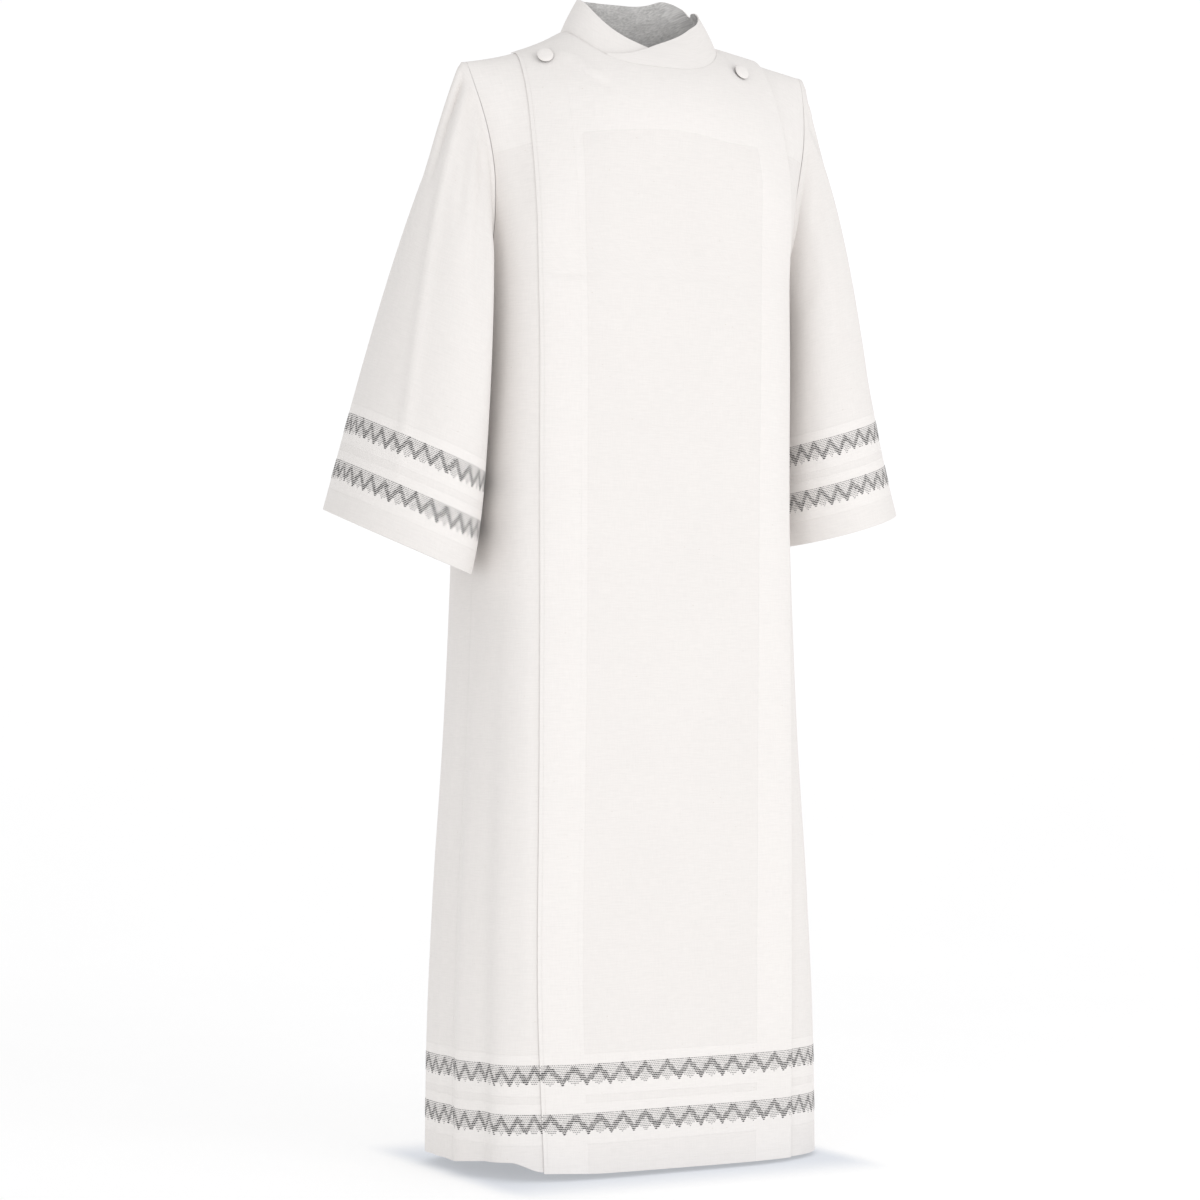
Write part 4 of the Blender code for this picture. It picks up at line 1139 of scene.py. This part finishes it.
def stitch_tree():
    """Geometry nodes: one small stitch on each point, lying along it and facing out."""
    name = "Laid stitches"
    if name in bpy.data.node_groups:
        return bpy.data.node_groups[name]
    tree = bpy.data.node_groups.new(name, "GeometryNodeTree")
    tree.is_modifier = True
    socket(tree, "Geometry", "INPUT", "NodeSocketGeometry")
    socket(tree, "Stitch length", "INPUT", "NodeSocketFloat", 0.0020, "DISTANCE")
    socket(tree, "Thread width", "INPUT", "NodeSocketFloat", 0.0008, "DISTANCE")
    socket(tree, "Thread height", "INPUT", "NodeSocketFloat", 0.0005, "DISTANCE")
    socket(tree, "Thread", "INPUT", "NodeSocketMaterial")
    socket(tree, "Geometry", "OUTPUT", "NodeSocketGeometry")
    n = Nodes(tree)
    given = n.add("NodeGroupInput")
    out = n.add("NodeGroupOutput")

    def read(attribute, kind):
        named = n.add("GeometryNodeInputNamedAttribute", {"data_type": kind}, i0=attribute)
        return named.outputs[0]
    turn = n.add("FunctionNodeAxesToRotation", {"primary_axis": "Z", "secondary_axis": "X"},
                 i0=read("outward", "FLOAT_VECTOR"), i1=read("along", "FLOAT_VECTOR"))
    size = n.add("ShaderNodeCombineXYZ", None, i0=given.outputs["Stitch length"],
                 i1=given.outputs["Thread width"], i2=given.outputs["Thread height"])
    scale = n.add("ShaderNodeVectorMath", {"operation": "SCALE"}, i0=size.outputs[0],
                  Scale=read("share", "FLOAT"))
    bead = n.add("GeometryNodeMeshUVSphere", None, Segments=4, Rings=2, Radius=0.5)
    placed = n.add("GeometryNodeInstanceOnPoints", None, Points=given.outputs["Geometry"],
                   Instance=bead.outputs["Mesh"], Rotation=turn.outputs[0], Scale=scale.outputs[0])
    real = n.add("GeometryNodeRealizeInstances", None, i0=placed.outputs[0])
    smooth = n.add("GeometryNodeSetShadeSmooth", None, i0=real.outputs[0])
    finish = n.add("GeometryNodeSetMaterial", None, i0=smooth.outputs[0],
                   Material=given.outputs["Thread"])
    n.put(out.inputs[0], finish.outputs[0])
    return tree


class StitchLines:
    """Gathers the stitches of one piece: middle, direction along, direction out, share and tone."""

    def __init__(self):
        self.rows = []

    def place(self, path, outward, length, places, raise_by, share, tone):
        """Stitches at given lengths along a line of points."""
        middle = read_along(places, length, path)
        ahead = read_along(places + STITCH_LOOK, length, path)
        behind = read_along(places - STITCH_LOOK, length, path)
        out = unit(read_along(places, length, outward))
        table = [middle + out * raise_by, unit(ahead - behind), out]
        table += [np.broadcast_to(value, len(places)) for value in (share, tone)]
        self.rows.append(np.column_stack(table))

    def topstitch(self, path, outward):
        """Even plain stitches along a line of points."""
        length = run_lengths(path)
        places = np.arange(TOP_STEP / 2, length[-1], TOP_STEP)
        self.place(path, outward, length, places, CLOTH / 2, TOP_SHARE, 0.0)

    def lay(self, name, length, width, height, thread):
        """Makes the stitches as one piece with the stitch tree."""
        table = np.concatenate(self.rows)
        mesh = bpy.data.meshes.new(name + "_points")
        mesh.from_pydata(table[:, 0:3].tolist(), [], [])
        for title, kind, values in (("along", "FLOAT_VECTOR", table[:, 3:6]),
                                    ("outward", "FLOAT_VECTOR", table[:, 6:9]),
                                    ("share", "FLOAT", table[:, 9]),
                                    ("tone", "FLOAT", table[:, 10])):
            layer = mesh.attributes.new(title, kind, "POINT")
            layer.data.foreach_set("vector" if kind == "FLOAT_VECTOR" else "value", values.ravel())
        stitches = put_in_scene(name, mesh)
        tree = stitch_tree()
        items = tree.interface.items_tree
        ids = {item.name: item.identifier for item in items if item.in_out == "INPUT"}
        modifier = stitches.modifiers.new("Stitches", "NODES")
        modifier.node_group = tree
        modifier[ids["Stitch length"]] = length
        modifier[ids["Thread width"]] = width
        modifier[ids["Thread height"]] = height
        modifier[ids["Thread"]] = thread
        view = bpy.context.evaluated_depsgraph_get()
        made = bpy.data.meshes.new_from_object(stitches.evaluated_get(view), depsgraph=view)
        stitches.modifiers.clear()
        stitches.data = made
        bpy.data.meshes.remove(mesh)
        return stitches


def band_tone(phase, height):
    """Share and tone of a stitch in a band: 1 in the bold zigzag, 0 in the fine filling."""
    wave = 1 - np.abs(2 * phase - 1)
    middle = ZIGZAG_LOW + ZIGZAG_RISE * wave
    bold = np.abs(height - middle) <= ZIGZAG_THICK / 2
    above = (height > middle) & (height < FILL_TOP)
    below = (height < middle) & (height > FILL_SLOPE * np.abs(phase - 0.5))
    keep = bold | above | below
    return keep, np.where(bold, 1.0, 0.0)


def stitch_bands(lines, piece, bands, columns, period):
    """Lays a piece's stitched bands: short stitches that draw a bold zigzag on fine lines."""
    first, last = columns
    hem = piece.across[-1][first:last + 1] - piece.across[-1][first]
    whole = hem[-1]
    if piece.closed:
        period = whole / round(whole / period)
    rng = np.random.default_rng(17)
    for low, high in bands:
        for line in range(BAND_LINES):
            share_up = (line + 0.5) / BAND_LINES
            path, outward = piece.level_line(low + (high - low) * share_up)
            path, outward = path[first:last + 1], outward[first:last + 1]
            places = np.arange(BAND_START + BAND_SHIFT * (line % 2), whole, BAND_STEP)
            places = places + rng.uniform(-BAND_SPREAD, BAND_SPREAD, len(places))
            phase = (places / period + 0.5) % 1.0
            keep, tone = band_tone(phase, np.full(len(places), share_up))
            share = np.where(tone > 0.5, BOLD_SHARE, FINE_SHARE)
            share = share * rng.uniform(*SHARE_SPREAD, len(places))
            lines.place(path, outward, hem, places[keep], BAND_RAISE, share[keep], tone[keep])


def inset_path(piece, inset):
    """A line down the cloth, at one distance from its last side edge."""
    points, normals = [], []
    for row, outward, across in zip(piece.grid, piece.normals, piece.across):
        length = (across[-1] - across)[::-1]
        points.append(read_along(inset, length, row[::-1]))
        normals.append(read_along(inset, length, outward[::-1]))
    return np.array(points), unit(normals)


def lay_topstitching(lines, title):
    """Makes gathered stitches as fine white topstitching."""
    length = bpy.context.scene.alb_sizes.stitch_length
    return lines.lay(title, length, TOP_WIDTH, TOP_HEIGHT, material("White topstitching"))


def stitch_piece(name):
    """Stitched bands of one piece, or the topstitching of the collar."""
    piece = cut_cloth(name)
    settings = bpy.context.scene.alb_sizes
    lines = StitchLines()
    last = piece.across.shape[1] - 1
    if name == "collar":
        path, outward = [], []
        for column, normals in zip(piece.grid.swapaxes(0, 1), piece.normals.swapaxes(0, 1)):
            heights = run_lengths(column)
            at = min(COLLAR_STITCH, heights[-1] * STITCH_SHARE)
            path.append(read_along(at, heights, column))
            outward.append(read_along(at, heights, normals))
        lines.topstitch(np.array(path), unit(outward))
        return lay_topstitching(lines, "collar_stitching")
    bands = CUFF_BANDS if name.startswith("sleeve") else HEM_BANDS
    if name == "front_outer":
        stitch_bands(lines, piece, bands, (0, SIDE_COLUMNS), SIDE_PERIOD)
        stitch_bands(lines, piece, bands, (piece.panel_start - PANEL_LEAD, last), PANEL_PERIOD)
    elif name == "front_inner":
        row = piece.grid[-1]
        shown = row[:, 0] < FREE_EDGE(HEM_Z) + INNER_BANDS
        stitch_bands(lines, piece, bands, (0, int(np.argmin(shown))), SIDE_PERIOD)
    else:
        stitch_bands(lines, piece, bands, (0, last), SIDE_PERIOD)
    return lines.lay(name + "_bands", settings.stitch_length, settings.stitch_width,
                     settings.stitch_height, material("Grey band thread"))


def topstitch_piece(name):
    """Plain white topstitching: above the hem, beside the free edge and along its facing."""
    piece = cut_cloth(name)
    lines = StitchLines()
    path, outward = piece.level_line(HEM_STITCH)
    if name == "front_outer":
        path, outward = path[piece.panel_start:], outward[piece.panel_start:]
    lines.topstitch(path, outward)
    if name == "front_outer":
        for inset in EDGE_STITCHES:
            path, outward = inset_path(piece, inset)
            lines.topstitch(path[2:-1], outward[2:-1])
    return lay_topstitching(lines, name + "_topstitching")


def material(name):
    """Returns a material of the robe, made once."""
    if name not in bpy.data.materials:
        sizes = bpy.context.scene.alb_sizes
        doubled, single = tuple(sizes.doubled_color), tuple(sizes.single_color)
        makers = {
            "White linen-look cloth": lambda: cloth_material(name, doubled, single),
            "White button cloth": lambda: cloth_material(name, doubled, single, 0.00014),
            # Painted shade under a button's rim
            "Button underside": lambda: mottled_shade_material(name, tuple(sizes.button_shade_color)),
            # The collar's inside is painted grey as shade
            "Grey collar lining": lambda: mottled_shade_material(name, tuple(sizes.collar_shade_color)),
            "Grey band thread": lambda: thread_material(
                name, tuple(sizes.bold_thread), tuple(sizes.fine_thread)),
            "White topstitching": lambda: thread_material(name, single, single),
        }
        makers[name]()
    return bpy.data.materials[name]


def color_setting(name, description, default):
    """Describes a colour that a user can change."""
    return bpy.props.FloatVectorProperty(
        name=name, description=description, subtype="COLOR", size=4, min=0.0, max=1.0,
        default=default + (1.0,))


def length_setting(name, description, default, low=0.0001, high=0.01):
    """Describes a length that a user can change."""
    return bpy.props.FloatProperty(
        name=name, description=description, subtype="DISTANCE", unit="LENGTH", min=low, max=high,
        default=default, precision=5)


def power_setting(name, description, default):
    """Describes the power of a light."""
    return bpy.props.FloatProperty(
        name=name, description=description, unit="POWER", min=0.0, default=default)


class AlbSizes(bpy.types.PropertyGroup):
    """Colours and stitch sizes of the robe."""
    doubled_color: color_setting("Doubled cloth", "Colour where cloth lies double",
                                 (0.840, 0.811, 0.790))
    # Darker than doubled cloth as painted shade showing through one layer
    single_color: color_setting("Single cloth", "Colour of one layer of the cloth",
                                (0.812, 0.783, 0.762))
    # Grey painted as shade on the collar's inside
    collar_shade_color: color_setting("Collar inside shade", "Colour of the collar's inside",
                                (0.66, 0.65, 0.64))
    # Dark colour painted as shade under a button's rim
    button_shade_color: color_setting("Button underside", "Colour under a button's rim",
                                   (0.16, 0.15, 0.145))
    bold_thread: color_setting("Zigzag thread", "Colour of the bold zigzag", (0.055, 0.055, 0.058))
    fine_thread: color_setting("Filling thread", "Colour of the fine filling", (0.20, 0.20, 0.205))
    stitch_length: length_setting("Stitch length", "Length of one stitch", 0.0038)
    stitch_width: length_setting("Thread width", "Width of a stitch on the cloth", 0.0016)
    stitch_height: length_setting("Thread height", "Height of a stitch off the cloth", 0.0006)


class AlbStage(bpy.types.PropertyGroup):
    """Camera, lights and floor."""
    camera_distance: length_setting("Camera distance", "Distance of the camera from the robe",
                                    3.8, 1.0, 20.0)
    camera_height: length_setting("Camera height", "Height of the level camera",
                                  -0.8343, -20.0, 20.0)
    camera_turn: bpy.props.FloatProperty(
        name="Camera turn", description="How far the camera stands round to the wearer's right",
        subtype="ANGLE", unit="ROTATION", default=math.radians(28.0))
    floor_height: length_setting("Floor height", "Height of the floor", -1.448, -20.0, 20.0)
    key_power: power_setting("Key light", "Power of the large light in front", 27.5)
    fill_power: power_setting("Fill light", "Power of the light beside the camera", 19.0)
    side_power: power_setting("Side light", "Power of the light on the wearer's left", 9.0)
    world_strength: bpy.props.FloatProperty(
        name="Room light", description="Strength of the even light from all sides", min=0.0,
        default=0.76)
    paper_glow: bpy.props.FloatProperty(
        name="Paper glow", description="Light that the white paper gives by itself", min=0.0,
        default=0.50)


def place_cloth(name, materials):
    """Makes one cloth piece and puts it in its node's place."""
    piece = cut_cloth(name)
    shift = HEM_BANDS[0][0] - CUFF_BANDS[0][0] if name.startswith("sleeve") else 0.0
    made = piece.wall(materials, shift)
    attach(made, "root")
    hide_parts(name)
    return made


def declare(name):
    """Works out one piece of cloth; its flat cut is not stated."""
    piece = cut_cloth(name)


class ALB_OT_cloth(bpy.types.Operator):
    """Makes the back, the two fronts, the sleeves and the collar"""
    bl_idname = "alb.cloth"
    bl_label = "Cloth pieces"

    def execute(self, context):
        cloth = material("White linen-look cloth")
        for name in ("back", "front_inner", "front_outer", "sleeve_right", "sleeve_left"):
            place_cloth(name, [cloth])
        # The collar's inside faces take a grey painted as shade
        place_cloth("collar", [cloth, material("Grey collar lining")])
        return {"FINISHED"}


class ALB_OT_stitches(bpy.types.Operator):
    """Lays the stitched bands and the topstitching"""
    bl_idname = "alb.stitches"
    bl_label = "Bands and stitching"

    def execute(self, context):
        rests = {"back": ["front_inner"], "front_inner": ["back"], "front_outer": ["back"],
                 "sleeve_right": ["back"], "sleeve_left": ["back"], "collar": ["back"]}
        for name, carrier in rests.items():
            sewn = [stitch_piece(name)]
            if name != "collar":
                sewn.append(topstitch_piece(name))
            for stitches in sewn:
                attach(stitches, "root")
            declare(name)
        return {"FINISHED"}


class ALB_OT_buttons(bpy.types.Operator):
    """Makes the two cloth-covered buttons"""
    bl_idname = "alb.buttons"
    bl_label = "Covered buttons"

    def execute(self, context):
        for name, (x, row) in BUTTON_PLACES.items():
            button = button_mesh(name + "_cover", x, row)
            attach(button, "root")
            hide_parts(name)
        return {"FINISHED"}


def area_light(name, place, target, power, width, height):
    """A large soft light, turned towards its target."""
    data = bpy.data.lights.new(name, "AREA")
    data.shape = "RECTANGLE"
    data.size, data.size_y = width, height
    data.energy = power
    thing = put_in_scene(name, data)
    thing.location = place
    away = Vector(target) - thing.location
    thing.rotation_euler = away.to_track_quat("-Z", "Y").to_euler()


def camera_axes(turn):
    """Level directions away from the camera and to its right."""
    forward = Vector((math.sin(turn), math.cos(turn), 0.0))
    return forward, Vector((forward.y, -forward.x, 0.0))


class ALB_OT_stage(bpy.types.Operator):
    """Sets up the floor, the lights and the camera"""
    bl_idname = "alb.stage"
    bl_label = "Stage"

    def execute(self, context):
        scene = context.scene
        stage = scene.alb_stage
        scene.view_settings.view_transform = "Standard"
        scene.view_settings.look = "None"
        self.make_floor(stage)
        self.make_lights(stage)
        forward, right = camera_axes(stage.camera_turn)
        data = bpy.data.cameras.new("Camera")
        data.sensor_width = CAMERA_SENSOR
        data.lens = CAMERA_LENS
        data.shift_y = CAMERA_SHIFT
        camera = put_in_scene("Camera", data)
        camera.location = -forward * stage.camera_distance - right * CAMERA_ASIDE
        camera.location.z = stage.camera_height
        camera.rotation_euler = (math.pi / 2, 0.0, -stage.camera_turn)
        scene.camera = camera
        return {"FINISHED"}

    def make_floor(self, stage):
        """A pale floor that curves up behind the robe, with a shadow painted round the hem."""
        reach, radius, top = FLOOR_REACH, FLOOR_RADIUS, FLOOR_TOP
        profile = [(-reach, 0.0)]
        profile += [(reach - radius + radius * math.sin(t), radius * (1 - math.cos(t)))
                    for t in np.linspace(0, math.pi / 2, 25)]
        profile.append((reach, top))
        forward, right = camera_axes(stage.camera_turn)
        vertices, faces = [], []
        for side in (-FLOOR_HALF, FLOOR_HALF):
            for along, up in profile:
                place = forward * along + right * side
                vertices.append((place.x, place.y, stage.floor_height + up))
        count = len(profile)
        for i in range(count - 1):
            faces.append((i, i + 1, count + i + 1, count + i))
        mesh = bpy.data.meshes.new("floor")
        mesh.from_pydata(vertices, [], faces)
        mesh.shade_smooth()
        floor = put_in_scene("floor", mesh)
        n, shader = new_material("White studio paper")
        place = n.add("ShaderNodeTexCoord").outputs["Object"]
        noise = n.add("ShaderNodeTexNoise", None, Vector=place, Scale=3.0, Detail=2.0)
        grain = noise.outputs["Fac"]
        parts = n.add("ShaderNodeSeparateXYZ", None, i0=place)
        # Painted shadow: the paper's colour and glow darken to blue-grey round the hem.
        beside = n.ramp(n.math("ABSOLUTE", parts.outputs[0]), 0.235, 0.285)
        before = n.ramp(n.math("ABSOLUTE", n.math("SUBTRACT", parts.outputs[1], 0.026)), 0.13, 0.27)
        shade = n.math("MULTIPLY", n.math("SUBTRACT", 1.0, beside), n.math("SUBTRACT", 1.0, before))
        paper = n.mix(grain, (0.56, 0.56, 0.562, 1.0), (0.58, 0.58, 0.582, 1.0))
        n.fill(shader, {
            "Base Color": n.mix(shade, paper, (0.44, 0.455, 0.49, 1.0)),
            "Emission Color": n.mix(shade, (1.0, 1.0, 1.0, 1.0), (0.74, 0.765, 0.80, 1.0)),
            "Emission Strength": stage.paper_glow,
            "Roughness": 0.9,
            "Specular IOR Level": 0.0,
        })
        mesh.materials.append(bpy.data.materials["White studio paper"])

    def make_lights(self, stage):
        """The large soft lights and an even pale world."""
        for name, setting, place, target, width, height in LIGHTS:
            area_light(name, place, target, getattr(stage, setting), width, height)
        world = bpy.data.worlds.new("Pale room")
        world.use_nodes = True
        background = world.node_tree.nodes["Background"]
        background.inputs["Color"].default_value = (1.0, 1.0, 1.0, 1.0)
        background.inputs["Strength"].default_value = stage.world_strength
        bpy.context.scene.world = world


class ALB_PT_panel(bpy.types.Panel):
    """Lists the steps that make the robe"""
    bl_idname = "ALB_PT_panel"
    bl_label = "Wrap-front alb"
    bl_space_type = "VIEW_3D"
    bl_region_type = "UI"
    bl_category = "Alb"

    def draw(self, context):
        layout = self.layout
        for step in STEPS:
            layout.operator(step.bl_idname)
        for settings in (context.scene.alb_sizes, context.scene.alb_stage):
            box = layout.box()
            for name in settings.bl_rna.properties.keys():
                if name not in ("rna_type", "name"):
                    box.prop(settings, name)


STEPS = (ALB_OT_cloth, ALB_OT_stitches, ALB_OT_buttons, ALB_OT_stage)
CLASSES = (AlbSizes, AlbStage) + STEPS + (ALB_PT_panel,)


def register():
    """Makes the settings, steps and panel known to Blender."""
    for item in CLASSES:
        bpy.utils.register_class(item)
    bpy.types.Scene.alb_sizes = bpy.props.PointerProperty(type=AlbSizes)
    bpy.types.Scene.alb_stage = bpy.props.PointerProperty(type=AlbStage)


def unregister():
    """Takes the settings, steps and panel away again."""
    del bpy.types.Scene.alb_stage
    del bpy.types.Scene.alb_sizes
    for item in reversed(CLASSES):
        bpy.utils.unregister_class(item)


def main():
    """Makes the robe and its stage."""
    register()
    for step in (bpy.ops.alb.cloth, bpy.ops.alb.stitches, bpy.ops.alb.buttons, bpy.ops.alb.stage):
        if step() != {"FINISHED"}:
            raise RuntimeError("a step of the robe didn't finish")


if __name__ == "__main__":
    main()
